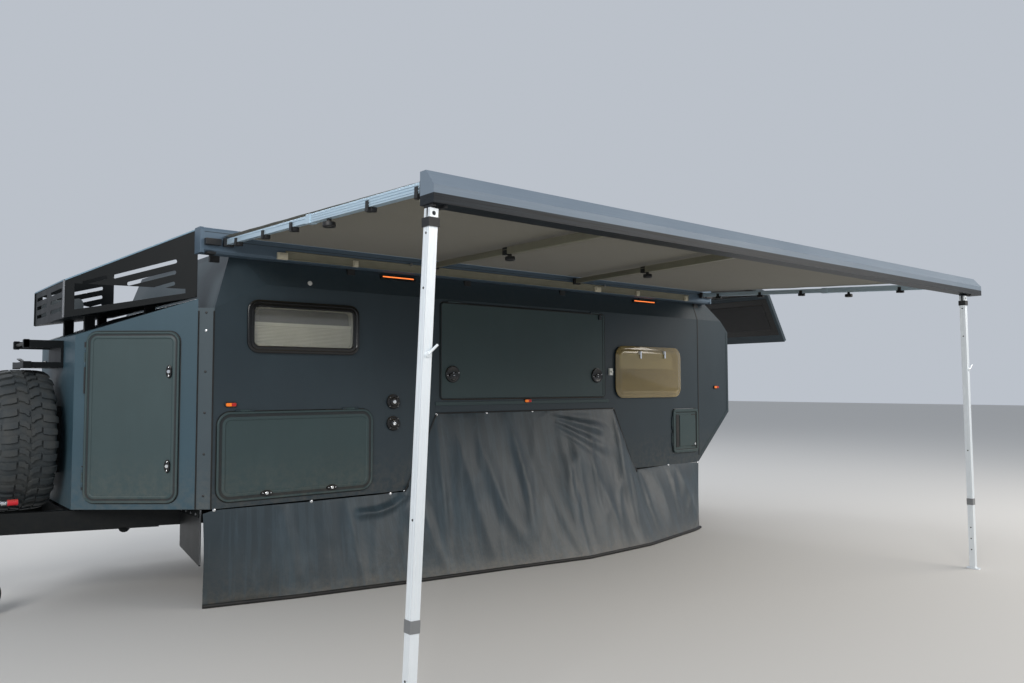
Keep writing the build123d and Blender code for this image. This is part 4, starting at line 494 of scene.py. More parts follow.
def piece(name, points, faces, looks, body="trailer", marks=None, edge=0.0, angle=32, slot=None):
    """A mesh piece that rides on a body. marks gives each face's place in looks."""
    mesh = bpy.data.meshes.new(name)
    mesh.from_pydata([tuple(point) for point in points], [], faces)
    for look in looks.split():
        mesh.materials.append(LOOKS[look][1])
    for polygon, mark in zip(mesh.polygons, marks or []):
        polygon.material_index = mark
    work = bmesh.new()
    work.from_mesh(mesh)
    bmesh.ops.recalc_face_normals(work, faces=work.faces)
    work.to_mesh(mesh)
    work.free()
    mesh.shade_smooth()
    mesh.set_sharp_from_angle(angle=math.radians(angle))
    made = bpy.data.objects.new(name, mesh)
    scene.collection.objects.link(made)
    if edge:
        bevel(made, edge, 30)
    slot or LOOKS[looks.split()[0]][0]
    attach(made, body)
    return made


def circle(centre, side, other, radius, steps):
    turns = [2 * math.pi * k / steps for k in range(steps)]
    return [centre + (side * math.cos(turn) + other * math.sin(turn)) * radius for turn in turns]


def cross_axes(axis):
    """An axis as a unit vector, and two more square to it."""
    axis = Vector(axis).normalized()
    side = axis.orthogonal().normalized()
    return axis, side, axis.cross(side)


class Heap:
    """Gathers many small solids into one mesh. Each face has a mark, its place in the looks."""

    def __init__(self):
        self.points, self.faces, self.marks = [], [], []

    def add(self, points, faces, marks):
        start = len(self.points)
        self.points += [tuple(point) for point in points]
        self.faces += [tuple(start + index for index in face) for face in faces]
        self.marks += marks

    def block(self, low, high, mark=0):
        (x0, y0, z0), (x1, y1, z1) = low, high
        points = [(x, y, z) for z in (z0, z1) for x, y in ((x0, y0), (x1, y0), (x1, y1), (x0, y1))]
        faces = [(0, 3, 2, 1), (4, 5, 6, 7), (0, 1, 5, 4), (1, 2, 6, 5), (2, 3, 7, 6), (3, 0, 4, 7)]
        self.add(points, faces, [mark] * 6)

    def plate(self, place, x0, x1, z0, z1, inner, outer, mark=0):
        """A block on a wall, from inner to outer metres proud of it."""
        corners = place(x0, z0, inner), place(x1, z1, outer)
        self.block([min(pair) for pair in zip(*corners)], [max(pair) for pair in zip(*corners)], mark)

    def skin(self, loops, mark=0, ends=(True, True), ring=False, marks=None):
        """Faces through equal closed loops of points, and over the first and last loop."""
        count, last = len(loops[0]), len(loops) - 1
        marks = marks or [mark] * len(loops)
        faces, kinds = [], []
        for index in range(last + ring):
            a, b = index * count, (index + 1) % len(loops) * count
            faces += [(a + k, a + (k + 1) % count, b + (k + 1) % count, b + k) for k in range(count)]
            kinds += [marks[index]] * count
        if ends[0] and not ring:
            faces.append(tuple(reversed(range(count))))
            kinds.append(marks[0])
        if ends[1] and not ring:
            faces.append(tuple(range(last * count, (last + 1) * count)))
            kinds.append(marks[-1])
        self.add([point for loop in loops for point in loop], faces, kinds)

    def lathe(self, profile, centre, axis, steps=32, mark=0, ring=False):
        """profile holds (distance along the axis, radius)."""
        centre = Vector(centre)
        axis, side, other = cross_axes(axis)
        loops = [circle(centre + axis * out, side, other, radius, steps) for out, radius in profile]
        self.skin(loops, mark, ring=ring)

    def rod(self, path, radius, steps=10, mark=0):
        """A round bar along a path of points."""
        path = [Vector(point) for point in path]
        loops = []
        side = None
        for index, point in enumerate(path):
            ahead = path[min(index + 1, len(path) - 1)] - path[max(index - 1, 0)]
            ahead.normalize()
            if side is None:
                side = ahead.orthogonal().normalized()
            side = (side - ahead * side.dot(ahead)).normalized()
            loops.append(circle(point, side, ahead.cross(side), radius, steps))
        self.skin(loops, mark)

    def beam(self, start, end, width, height, lift=(0, 0, 1), mark=0):
        """A bar of rectangular section from start to end. lift is roughly its height's direction."""
        start, end, lift = Vector(start), Vector(end), Vector(lift)
        ahead = (end - start).normalized()
        across = ahead.cross(lift).normalized()
        lift = across.cross(ahead)
        corners = ((-1, -1), (1, -1), (1, 1), (-1, 1))
        section = [(across * width / 2 * u, lift * height / 2 * v) for u, v in corners]
        self.skin([[point + aside + above for aside, above in section] for point in (start, end)], mark)

    def make(self, name, looks, body="trailer", edge=0.0, angle=32, slot=None):
        return piece(name, self.points, self.faces, looks, body, self.marks, edge, angle, slot)


def rounded(x0, x1, z0, z1, radius, inset=0.0, steps=7):
    """A rounded rectangle's points, always as many of them."""
    x0, x1, z0, z1 = x0 + inset, x1 - inset, z0 + inset, z1 - inset
    radius = max(radius - inset, 0.0015)
    left, right, low, high = x0 + radius, x1 - radius, z0 + radius, z1 - radius
    points = []
    for cx, cz, start in ((right, high, 0), (left, high, 90), (left, low, 180), (right, low, 270)):
        for index in range(steps + 1):
            angle = math.radians(start + 90 * index / steps)
            points.append((cx + radius * math.cos(angle), cz + radius * math.sin(angle)))
    return points


def near(x, z, out):
    """A point on the near wall's outer face, out metres proud of it."""
    return Vector((x, -HALF - out, z))


def far(x, z, out):
    return Vector((x, HALF + out, z))


NOSE_START = (1.300, 0.505)
NOSE_RUN, NOSE_SPREAD = 0.573, 0.480
nose_length = math.hypot(NOSE_RUN, NOSE_SPREAD)


def nose(side):
    """Places points on the nose box's slanted side: side is -1 near and 1 far."""

    def place(u, z, out):
        x = NOSE_START[0] + (NOSE_RUN * u - NOSE_SPREAD * out) / nose_length
        y = NOSE_START[1] + (NOSE_SPREAD * u + NOSE_RUN * out) / nose_length
        return Vector((x, side * y, z))

    return place


def trim_ring(heap, place, rect, radius, profile, mark=0, marks=None, ends=(False, False)):
    """Loops round a rounded rectangle: profile holds (inset, height)."""
    loops = [[place(x, z, out) for x, z in rounded(*rect, radius, inset)] for inset, out in profile]
    heap.skin(loops, mark, ends, marks=marks)


# Wheels

TYRE_RADIUS, TYRE_HALF, TREAD_DEPTH = 0.4445, 0.159, 0.014
TYRE_PITCHES = 34
CROWN = TYRE_RADIUS - TREAD_DEPTH
# Half of the carcass, from the crown's middle outwards: distance across, radius
TREAD_DROPS = mm(0, 0, 40, 0.6, 80, 2.6, 112, 7, 130, 14, 142, 27, 148, 48, 151.5, 72)
CARCASS = [(y, CROWN - drop) for y, drop in TREAD_DROPS]
CARCASS += mm(153, 330, 150.5, 300, 144, 272, 134, 250, 124, 236, 118, 227.5, 115, 217)
LINING = mm(105, 228, 118, 262, 128, 330, 112, 395, 0, 412)


def carcass_at(across, lift):
    """Point of the half section at an arc distance from the crown, lifted off the surface."""
    left = across
    for (y0, r0), (y1, r1) in zip(CARCASS, CARCASS[1:]):
        run = math.hypot(y1 - y0, r1 - r0)
        if left <= run or (y1, r1) == CARCASS[-1]:
            share = left / run
            ny, nr = (r0 - r1) / run, (y1 - y0) / run
            return y0 + (y1 - y0) * share + ny * lift, r0 + (r1 - r0) * share + nr * lift
        left -= run


# Lugs: stations of (arc distance across, start and end along the pitch)
CENTRE_LUG = [(0.004, 0.30, 0.78), (0.020, 0.22, 0.70), (0.024, 0.10, 0.58)]
CENTRE_LUG += [(0.042, 0.04, 0.50), (0.058, 0.02, 0.44)]
SHOULDER_LUG = [(0.066, 0.10, 0.66), (0.084, 0.12, 0.72), (0.104, 0.16, 0.76)]
SHOULDER_LUG += [(0.124, 0.18, 0.76), (0.141, 0.19, 0.75), (0.156, 0.20, 0.74)]
SHOULDER_SHORT = [(q - 0.002, a + 0.02, b - 0.04) for q, a, b in SHOULDER_LUG[:-1]]
SIDE_LUG = [(0.160, 0.24, 0.70), (0.176, 0.26, 0.68), (0.192, 0.30, 0.64), (0.206, 0.34, 0.60)]
SIDE_SHORT = [(0.154, 0.22, 0.70), (0.168, 0.26, 0.66), (0.182, 0.30, 0.60)]
LUG_TAPER = 0.0016
SIDE_LUG_RISE = 0.0065


def tyre(name, centre, axis, body):
    """An off-road tyre: carcass, staggered lugs, shoulder blocks and side lugs."""
    centre = Vector(centre)
    axis, side, other = cross_axes(axis)

    def place(angle, y, radius):
        return centre + axis * y + (side * math.cos(angle) + other * math.sin(angle)) * radius

    heap = Heap()
    half = CARCASS + LINING
    section = [(y, r) for y, r in half] + [(-y, r) for y, r in reversed(half[1:-1])]
    turns = [2 * math.pi * k / (4 * TYRE_PITCHES) for k in range(4 * TYRE_PITCHES)]
    heap.skin([[place(turn, y, r) for y, r in section] for turn in turns], ring=True)
    for hand in (-1, 1):
        for middle, height in mm(222, 2.2, 262, 3.0, 292, 2.2):
            stations = ((middle - 0.004, 0.0), (middle, height), (middle + 0.004, 0.0))
            line = [carcass_at(q, lift) for q, lift in stations]
            heap.skin([[place(turn, hand * y, r) for y, r in line] for turn in turns], ring=True)
    carcass = heap.make(f"{name}_carcass", "tyre", body, angle=50)

    lugs = Heap()
    pitch = 2 * math.pi / TYRE_PITCHES
    inset = LUG_TAPER / (pitch * 0.43)
    for count in range(TYRE_PITCHES):
        rows = [(CENTRE_LUG, TREAD_DEPTH), (SHOULDER_LUG, TREAD_DEPTH), (SIDE_LUG, SIDE_LUG_RISE)]
        if count % 2:
            rows[1:] = [(SHOULDER_SHORT, TREAD_DEPTH), (SIDE_SHORT, SIDE_LUG_RISE)]
        for hand in (-1, 1):
            shift = 0.0 if hand < 0 else 0.5
            for stations, rise in rows:
                points, faces = [], []
                last = len(stations) - 1
                for index, (q, start, end) in enumerate(stations):
                    tuck = LUG_TAPER if index in (0, last) else 0.0
                    y0, r0 = carcass_at(q, -0.003)
                    y1, r1 = carcass_at(q + (tuck if index == 0 else -tuck), rise)
                    if rise == TREAD_DEPTH:
                        r1 = min(r1, TYRE_RADIUS - 0.0002 - max(0.0, y1 - 0.09) ** 2 * 2.2)
                    y1 = min(y1, TYRE_HALF - 0.0005)
                    a0, a1, b0, b1 = [
                        (count + shift + along) * pitch
                        for along in (start, end, start + inset, end - inset)
                    ]
                    foot, top = (hand * y0, r0), (hand * y1, r1)
                    points += [place(a0, *foot), place(a1, *foot), place(b1, *top), place(b0, *top)]
                for a in range(0, 4 * last, 4):
                    b = a + 4
                    faces += [(a + 3, a + 2, b + 2, b + 3), (a, a + 3, b + 3, b)]
                    faces.append((a + 2, a + 1, b + 1, b + 2))
                faces += [(0, 1, 2, 3), (4 * last + 3, 4 * last + 2, 4 * last + 1, 4 * last)]
                lugs.add(points, faces, [0] * len(faces))
    lugs.make(f"{name}_lugs", "tyre", body, edge=0.0014, angle=40)
    return carcass


WHEEL_Y = 0.851
HUB_Z = GROUND + TYRE_RADIUS
AXLES = {"front": 4.030, "rear": 5.030}
SIDES = {"near": -1, "far": 1}
WHEELS = [(f"{end}_{side}", x, hand) for end, x in AXLES.items() for side, hand in SIDES.items()]
for name, x, hand in WHEELS:
    made = tyre(f"tyre_{name}", (x, hand * WHEEL_Y, HUB_Z), (0, 1, 0), f"wheel_{name}")
    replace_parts(made, f"tyre_{name}")
SPARE_CENTRE = (1.091, 0.0, level(1.005))
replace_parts(tyre("spare_tyre", SPARE_CENTRE, (1, 0, 0), "trailer"), "spare_tyre")

RIM_FACE = 0.048
NUT = mm(-2, 17, 3, 17, 3.5, 12.5, 20, 12, 24, 9)
HUB_CAP = mm(-1, 52, 4, 52, 20, 46, 24, 40, 24.5, 12, 22, 0)
FLANGE = mm(100, 199, 118, 199, 121.5, 203, 123.5, 212, 123.5, 222)
FLANGE += mm(119, 226.5, 114, 226.5, 114, 217.5, 100, 217.5)


def wheel_dress(name, centre, axis, body):
    """Nuts, centre cap, valve and outer ring of a rim."""
    centre = Vector(centre)
    axis, side, other = cross_axes(axis)
    heap = Heap()

    def spot(turn, radius, out):
        return centre + (side * math.cos(turn) + other * math.sin(turn)) * radius + axis * out

    for k in range(6):
        heap.lathe(NUT, spot(2 * math.pi * k / 6 + math.pi / 8, 0.072, RIM_FACE), axis, 6, 1)
    heap.lathe(HUB_CAP, centre + axis * RIM_FACE, axis, 40)
    heap.lathe(FLANGE, centre, axis, 96, ring=True)
    for k in range(24):
        bolt = spot(2 * math.pi * k / 24, 0.2135, 0.123)
        heap.lathe(mm(-1, 5.5, 4, 5.5, 5.5, 4.2), bolt, axis, 6, 1)
    valve = centre + side * 0.176 + axis * 0.07
    path = [valve, valve + axis * 0.03 - side * 0.006, valve + axis * 0.046 - side * 0.010]
    heap.rod(path, 0.0045, mark=2)
    heap.make(f"{name}_dress", "black steel seal", body, angle=35)


for name, x, hand in WHEELS:
    wheel_dress(f"rim_{name}", (x, hand * WHEEL_Y, HUB_Z), (0, hand, 0), f"wheel_{name}")
wheel_dress("spare_rim", SPARE_CENTRE, (-1, 0, 0), "trailer")

# Soft pieces


def settle(target, frames, pins, rest=None, gravity=1.0, pressure=0.0, **values):
    """Runs the cloth solver on a mesh and keeps its last frame. pins holds a weight per point."""
    group = target.vertex_groups.new(name="pin")
    for index, weight in enumerate(pins):
        if weight > 0:
            group.add([index], weight, "REPLACE")
    cloth = target.modifiers.new("cloth", "CLOTH")
    settings = cloth.settings
    settings.vertex_group_mass = "pin"
    if rest is not None:
        target.shape_key_add(name="Basis")
        key = target.shape_key_add(name="rest")
        for index, point in enumerate(rest):
            key.data[index].co = point
        key.value = 0.0
        settings.rest_shape_key = key
    settings.effector_weights.gravity = gravity
    settings.use_pressure = pressure > 0
    settings.uniform_pressure_force = pressure
    for key, value in values.items():
        setattr(settings, key, value)
    cloth.collision_settings.use_collision = False
    cloth.point_cache.frame_start = 1
    cloth.point_cache.frame_end = frames
    for frame_number in range(1, frames + 1):
        scene.frame_set(frame_number)
    graph = bpy.context.evaluated_depsgraph_get()
    settled = [vertex.co.copy() for vertex in target.evaluated_get(graph).data.vertices]
    target.modifiers.remove(cloth)
    if rest is not None:
        target.shape_key_clear()
    target.vertex_groups.clear()
    scene.frame_set(1)
    for vertex, point in zip(target.data.vertices, settled):
        vertex.co = point


def grid(name, columns, look):
    """A sheet through columns of points, each column as long as the others."""
    rows = len(columns[0])
    starts = [a * rows + b for a in range(len(columns) - 1) for b in range(rows - 1)]
    faces = [(start, start + 1, start + rows + 1, start + rows) for start in starts]
    return piece(name, [point for column in columns for point in column], faces, look, angle=80)


def within(value):
    """A value held between 0 and 1."""
    return min(1.0, max(0.0, value))


# Awning cloth: stretched from the roller to the lead rail, held up by four rafters
ROOF_FRONT, ROOF_REAR = 1.905, 6.758
ROLLER_Y, ROLLER_Z = -1.104, level(2.2555)
LEAD_Y, LEAD_Z = -3.478, level(2.1305)
RAFTER_ENDS = [(2.003, 1.890), (3.523, 3.080), (4.963, 4.140), (6.660, 6.773)]
SAG, CURL, RIPPLE = 0.0065, 0.0008, 0.0011
ACROSS, ALONG = 61, 145
columns = []
for a in range(ALONG):
    column = []
    for b in range(ACROSS):
        v = b / (ACROSS - 1)
        front_x, rear_x = 1.981 - 0.076 * v, 6.690 + 0.068 * v
        x = front_x + (rear_x - front_x) * a / (ALONG - 1)
        lines = [case_x + (lead_x - case_x) * v for case_x, lead_x in RAFTER_ENDS]
        sag = 0.0
        for first, second in zip(lines, lines[1:]):
            if first < x < second:
                share = (x - first) / (second - first)
                sag = 4 * share * (1 - share) * min(1.0, (second - first) / 1.6)
        belly = math.sin(math.pi * v)
        edge = min(a, ALONG - 1 - a) / (ALONG - 1) * (ROOF_REAR - ROOF_FRONT)
        curl = CURL * math.exp(-edge / 0.10) * belly * math.sin(14 * math.pi * v)
        ripple = RIPPLE * noise.noise(Vector((x * 1.4, v * 13.0, 3.0)))
        z = ROLLER_Z + (LEAD_Z - ROLLER_Z) * v - sag * (belly * SAG) + curl + ripple
        column.append((x, ROLLER_Y + (LEAD_Y - ROLLER_Y) * v, z))
    columns.append(column)
awning = grid("awning_cloth", columns, "awning")
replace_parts(awning, "awning_fabric")

# Side skirt: coated cloth studded to the wall, over the wheel arch, and pegged out at its hem
SKIRT_TOP = [
    *[(1.900, 0.578), (1.967, 0.594), (2.600, 0.589), (2.900, 0.590), (3.080, 0.590)],
    *[(3.196, 0.592), (3.315, 0.594), (3.436, 0.844), (3.582, 1.139), (4.516, 1.145)],
    *[(5.462, 1.144), (5.728, 0.584), (6.250, 0.603), (6.650, 0.598)],
]
SKIRT_HEM = [
    *[(1.930, -0.983), (2.495, -1.125), (3.269, -1.262), (3.938, -1.354)],
    *[(4.728, -1.484), (5.500, -1.440), (6.335, -1.246), (6.486, -1.190)],
]
SKIRT_WALL = -HALF - 0.0022
HEM_Z = GROUND + 0.016
SKIRT_COLUMNS, SKIRT_ROWS = 200, 56


def along_line(table, x):
    for (x0, v0), (x1, v1) in zip(table, table[1:]):
        if x <= x1:
            return v0 + (v1 - v0) * max(0.0, (x - x0) / (x1 - x0))
    return table[-1][1]


columns, rests = [], []
for a in range(SKIRT_COLUMNS):
    u = a / (SKIRT_COLUMNS - 1)
    top_x = SKIRT_TOP[0][0] + (SKIRT_TOP[-1][0] - SKIRT_TOP[0][0]) * u
    hem_x = SKIRT_HEM[0][0] + (SKIRT_HEM[-1][0] - SKIRT_HEM[0][0]) * u
    top = Vector((top_x, SKIRT_WALL, level(along_line(SKIRT_TOP, top_x))))
    hem = Vector((hem_x, along_line(SKIRT_HEM, hem_x), HEM_Z))
    drop = (top - hem).length * (1.010 + 0.006 * u)
    column = []
    for b in range(SKIRT_ROWS):
        v = b / (SKIRT_ROWS - 1)
        point = top.lerp(hem, v)
        seed = noise.noise(Vector((point.x * 3.2, point.z * 0.9, 1.7)))
        point.y -= 0.016 * (0.35 + seed) * math.sin(math.pi * v) ** 2
        loose = 0.006 + 0.032 * min(1.0, v * 1.4)
        rests.append((top.x * (1 + loose), 0.0, -drop * v))
        column.append(tuple(point))
    columns.append(column)
skirt = grid("skirt_cloth", columns, "skirt")
settle(
    skirt,
    34,
    [1.0 if b in (0, SKIRT_ROWS - 1) else 0.0 for b in range(SKIRT_ROWS)] * SKIRT_COLUMNS,
    rests,
    quality=6,
    mass=0.15,
    tension_stiffness=40,
    compression_stiffness=40,
    shear_stiffness=12,
    bending_stiffness=1.2,
    tension_damping=12,
    compression_damping=12,
    shear_damping=12,
    air_damping=2.0,
)
STUD = Vector((4.516, 0, level(1.130)))
FAN_REACH, FAN_SLOPE, FAN_DEPTH = 0.95, 0.30, 0.013
CRESCENT = [(3.335, 0.640), (3.300, 0.560), (3.200, 0.505), (3.080, 0.478), (2.940, 0.480)]
CRESCENT_DEPTH, CRESCENT_WIDTH = 0.024, 0.026


def drape(x, z):
    """How far the folds stand out: ridges that run down, a turned-over lip, sags at the foot."""
    top = level(along_line(SKIRT_TOP, x))
    v = within((top - z) / (top - GROUND))
    ends = within((x - 1.94) / 0.20) * within((6.60 - x) / 0.25)
    amount = math.sin(math.pi * v**0.85) ** 0.8 * (0.35 + 0.65 * ends)
    long_fold = noise.noise(Vector((x * 2.1 + z * 0.35, z * 0.42, 4.1)))
    ridge = max(0.0, 1.0 - abs(long_fold) * 3.4) ** 2
    small = noise.noise(Vector((x * 7.5 - z * 1.2, z * 1.3, 9.3)))
    small_ridge = max(0.0, 1.0 - abs(small) * 3.0) ** 2
    sag = noise.noise(Vector((x * 1.6, z * 8.0, 2.2)))
    rear = within((x - 4.4) / 1.2)
    out = amount * (0.026 * ridge + (0.007 + 0.009 * rear) * small_ridge + 0.007 * sag * v)
    away = 1.0
    for (x0, z0), (x1, z1) in zip(CRESCENT, CRESCENT[1:]):
        start, step = Vector((x0, level(z0))), Vector((x1 - x0, z1 - z0))
        share = within((Vector((x, z)) - start).dot(step) / step.length_squared)
        away = min(away, (Vector((x, z)) - start - step * share).length)
    return out + CRESCENT_DEPTH * math.exp(-((away / CRESCENT_WIDTH) ** 2))


for vertex in skirt.data.vertices:
    point = vertex.co
    away = Vector((point.x, 0, point.z)) - STUD
    reach = away.length
    if 0.03 < reach < FAN_REACH and away.x > 0:
        slope = math.atan2(-away.z, away.x)
        fan = math.exp(-(((slope - FAN_SLOPE) / 0.26) ** 2))
        fan *= math.sin(math.pi * min(1.0, reach / FAN_REACH)) ** 1.2
        point.y -= FAN_DEPTH * fan * (0.6 + math.cos(slope * 30.0))
    point.y -= drape(point.x, point.z)
    if point.z > 0.060:
        point.y = min(point.y, SKIRT_WALL)
    point.z = max(point.z, GROUND + 0.004)
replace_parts(skirt, "side_skirt")


def steps_between(start, end, count):
    return [start + (end - start) * a / count for a in range(count + 1)]


# The cloth's hem tube, its piped edges and the knot behind the wheel opening
hem = Heap()
hem_line = steps_between(SKIRT_HEM[0][0], SKIRT_HEM[-1][0], 60)
hem.rod([(x, along_line(SKIRT_HEM, x) - 0.002, GROUND + 0.0135) for x in hem_line], 0.0125, 12)
for start, end, count, out, drop, radius in (
    (5.462, 5.728, 24, 0.006, 0.006, 0.0065),
    (3.315, 3.582, 24, 0.004, 0.005, 0.0045),
    (3.582, 5.462, 40, 0.004, None, 0.0045),
):
    piping = []
    for x in steps_between(start, end, count):
        height = 1.140 if drop is None else along_line(SKIRT_TOP, x) - drop
        piping.append((x, SKIRT_WALL - out, level(height)))
    hem.rod(piping, radius)
knot = [(5.716, 0.010, 0.604), (5.730, 0.014, 0.588), (5.742, 0.010, 0.572)]
hem.rod([(x, SKIRT_WALL - out, level(height)) for x, out, height in knot], 0.013, 12)
hem_tube = hem.make("skirt_hem_tube", "seal", angle=60)

# Mattress: a quilted foam block on the bed base
bed_low, bed_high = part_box("mattress")
BED_CELL = 0.026
BED_RADII = ((0, 1, 0.05), (0, 2, 0.022), (1, 2, 0.022))
BED_SWELL = 0.012
bed_points = {}
spans = [max(2, round((bed_high[k] - bed_low[k]) / BED_CELL)) for k in range(3)]


def bed_point(*key):
    """Number of the lattice point on the block's skin."""
    if key not in bed_points:
        shares = [k / span for k, span in zip(key, spans)]
        place = [bed_low[n] + (bed_high[n] - bed_low[n]) * shares[n] for n in range(3)]
        bed_points[key] = (len(bed_points), Vector(place))
    return bed_points[key][0]


SQUARE = ((0, 0), (0, 1), (1, 1), (1, 0))
TURNED = ((0, 0), (1, 0), (1, 1), (0, 1))
faces = []
for i in range(spans[0]):
    for j in range(spans[1]):
        for k, corners in ((0, SQUARE), (spans[2], TURNED)):
            faces.append([bed_point(i + a, j + b, k) for a, b in corners])
for k in range(spans[2]):
    for i in range(spans[0]):
        for j, corners in ((0, TURNED), (spans[1], SQUARE)):
            faces.append([bed_point(i + a, j, k + b) for a, b in corners])
    for j in range(spans[1]):
        for i, corners in ((0, SQUARE), (spans[0], TURNED)):
            faces.append([bed_point(i, j + a, k + b) for a, b in corners])
middle = (bed_low + bed_high) / 2
half = (bed_high - bed_low) / 2
bed_places = []
for _, place in bed_points.values():
    away = place - middle
    for first, second, radius in BED_RADII:
        over = [abs(away[k]) - (half[k] - radius) for k in (first, second)]
        length = math.hypot(*over)
        if min(over) > 0 and length > radius:
            for k, excess in zip((first, second), over):
                away[k] = math.copysign(half[k] - radius + excess * radius / length, away[k])
    bed_places.append(middle + away)
bed = piece("mattress_quilted", bed_places, faces, "mattress", angle=60)
start_places = [vertex.co.copy() for vertex in bed.data.vertices]
tufts = [float(k == 0 or (k == spans[2] and i % 8 == j % 8 == 4)) for i, j, k in bed_points]
settle(
    bed,
    20,
    tufts,
    gravity=0.0,
    pressure=4.0,
    quality=5,
    mass=0.3,
    tension_stiffness=15,
    compression_stiffness=15,
    shear_stiffness=5,
    bending_stiffness=0.5,
)
for vertex, start in zip(bed.data.vertices, start_places):
    moved = vertex.co - start
    if moved.length > BED_SWELL:
        vertex.co = start + moved.normalized() * BED_SWELL
    vertex.co.z = max(vertex.co.z, bed_low.z)
bed_smooth = bed.modifiers.new("smooth", "SUBSURF")
bed_smooth.levels = bed_smooth.render_levels = 1
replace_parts(bed, "mattress")

# Doors and hatches

PROUD = 0.008
OUT = Vector((0, -1, 0))
STORAGE = (1.975, 3.051, level(0.635), level(1.183))
KITCHEN = (3.617, 5.361, level(1.241), level(1.962))
SERVICE = (6.269, 6.645, level(0.705), level(1.118))
NOSE_DOOR = (0.074, 0.643, level(0.639), level(1.674))
STORAGE_RADIUS, NOSE_DOOR_RADIUS, SEAL_GAP = 0.083, 0.066, 0.006


def proud(*sizes):
    """A trim profile in millimetres, its heights given above the doors' faces."""
    return [(inset, PROUD + out) for inset, out in mm(*sizes)]


def beads(name, place, rect, radius, body, spread):
    """Two raised beads round a door with a dark groove between them, then a raised field."""
    heap = Heap()
    profile = proud(0, -4, 0, 3, 3, 6, 11, 6, 14, 2)
    rows = (0.3, 14, 1.2), (0.6, 14, 2), (1, 14, 5), (1, 19, 5), (1, 24, 1), (1, 24, -2)
    for share, inset, out in rows:
        profile.append((inset / 1000 + spread * share, PROUD + out / 1000))
    trim_ring(heap, place, rect, radius, profile, marks=[0, 0, 0, 0, 1, 1, 0, 0, 0, 0, 0])
    heap.make(name, "panel trim", body, angle=40)


def latch(heap, place, x, z, half_x, half_z):
    """An oval paddle latch over its boss, with a bright key barrel."""
    axis = place(x, z, 1.0) - place(x, z, 0.0)
    turns = [2 * math.pi * k / 28 for k in range(28)]
    loops = []
    for grow, out in mm(1040, -3, 1040, 9, 990, 12.8, 900, 13.4, 860, 12.6, 20, 12.6):
        oval = [(x + half_x * grow * math.cos(t), z + half_z * grow * math.sin(t)) for t in turns]
        loops.append([place(*spot, PROUD + out) for spot in oval])
    heap.skin(loops, ends=(False, True))
    barrel = min(half_x, half_z) * 0.62
    profile = [(-0.001, barrel), (0.004, barrel), (0.0055, barrel * 0.82), (0.0055, 0.0015)]
    heap.lathe(profile, place(x, z, PROUD + 0.0126), axis, 20, 1)
    for hand in (-0.68, 0.68):
        spot = (x + hand * half_x, z) if half_x > half_z else (x, z + hand * half_z)
        heap.lathe(mm(-1, 3.5, 1.6, 3.5, 2.2, 2.2), place(*spot, PROUD + 0.0126), axis, 10, 1)


def seal_line(heap, place, rect, radius):
    """A thin dark rubber lip round a door's hole."""
    trim_ring(heap, place, rect, radius + SEAL_GAP, mm(-6.2, -1, -6.2, 2, -2.8, 2.4, -2.8, -1))


def dress_door(kind, side, place, rect, radius, body, spread, latches, half_x, half_z):
    """A door's beads, its latches and the rubber round its hole."""
    beads(f"{kind}_trim_{side}", place, rect, radius, body, spread)
    heap = Heap()
    for x, height in latches:
        latch(heap, place, x, level(height), half_x, half_z)
    heap.make(f"{kind.removesuffix('_door')}_latches_{side}", "gloss chrome", body)
    heap = Heap()
    seal_line(heap, place, rect, radius)
    heap.make(f"{kind}_seal_{side}", "seal")


STORAGE_LATCHES = [(2.290, 0.672), (2.740, 0.672)]
NOSE_LATCHES = [(0.583, 0.860), (0.583, 1.430)]
for side, place in (("near", near), ("far", far)):
    door = STORAGE, STORAGE_RADIUS, f"storage_hatch_{side}", 0.030
    dress_door("storage", side, place, *door, STORAGE_LATCHES, 0.038, 0.017)
for side, hand in SIDES.items():
    door = NOSE_DOOR, NOSE_DOOR_RADIUS, f"nose_door_{side}", 0.020
    dress_door("nose_door", side, nose(hand), *door, NOSE_LATCHES, 0.017, 0.038)

heap = Heap()
trim_ring(heap, near, KITCHEN, 0.030, proud(0, -2, 0, 1.6, 2, 2.6, 6, 2.6, 9, -0.2))
x0, x1, z0, z1 = KITCHEN
heap.plate(near, x1 - 0.033, x1 - 0.030, z0 + 0.02, z1 - 0.02, PROUD - 0.001, PROUD + 0.0022)
heap.make("kitchen_hatch_edge", "trim", "kitchen_hatch", angle=40)

heap = Heap()
for x in (3.722, 5.251):
    centre = near(x, level(1.428), PROUD)
    boss = mm(-3, 63, 10, 63, 14, 60, 15, 54, 13.8, 47, 13, 44, 13, 4)
    heap.lathe(boss, centre, OUT, 40)
    reach = Vector((1, 0, 0.25)).normalized() * 0.036
    grip = centre + OUT * 0.013 + OUT * 0.007
    heap.beam(grip - reach, grip + reach, 0.016, 0.014, (0, -1, 0))
    heap.lathe(mm(12, 13, 22, 13, 23.5, 11, 23.5, 1), centre, OUT, 20, 1)
    for hand in (-1, 1):
        screw = centre + Vector((hand * 0.049, 0, hand * 0.010)) + OUT * 0.0145
        heap.lathe(mm(-1, 4, 2, 4, 3, 2), screw, OUT, 10, 1)
heap.make("kitchen_locks", "gloss chrome", "kitchen_hatch")

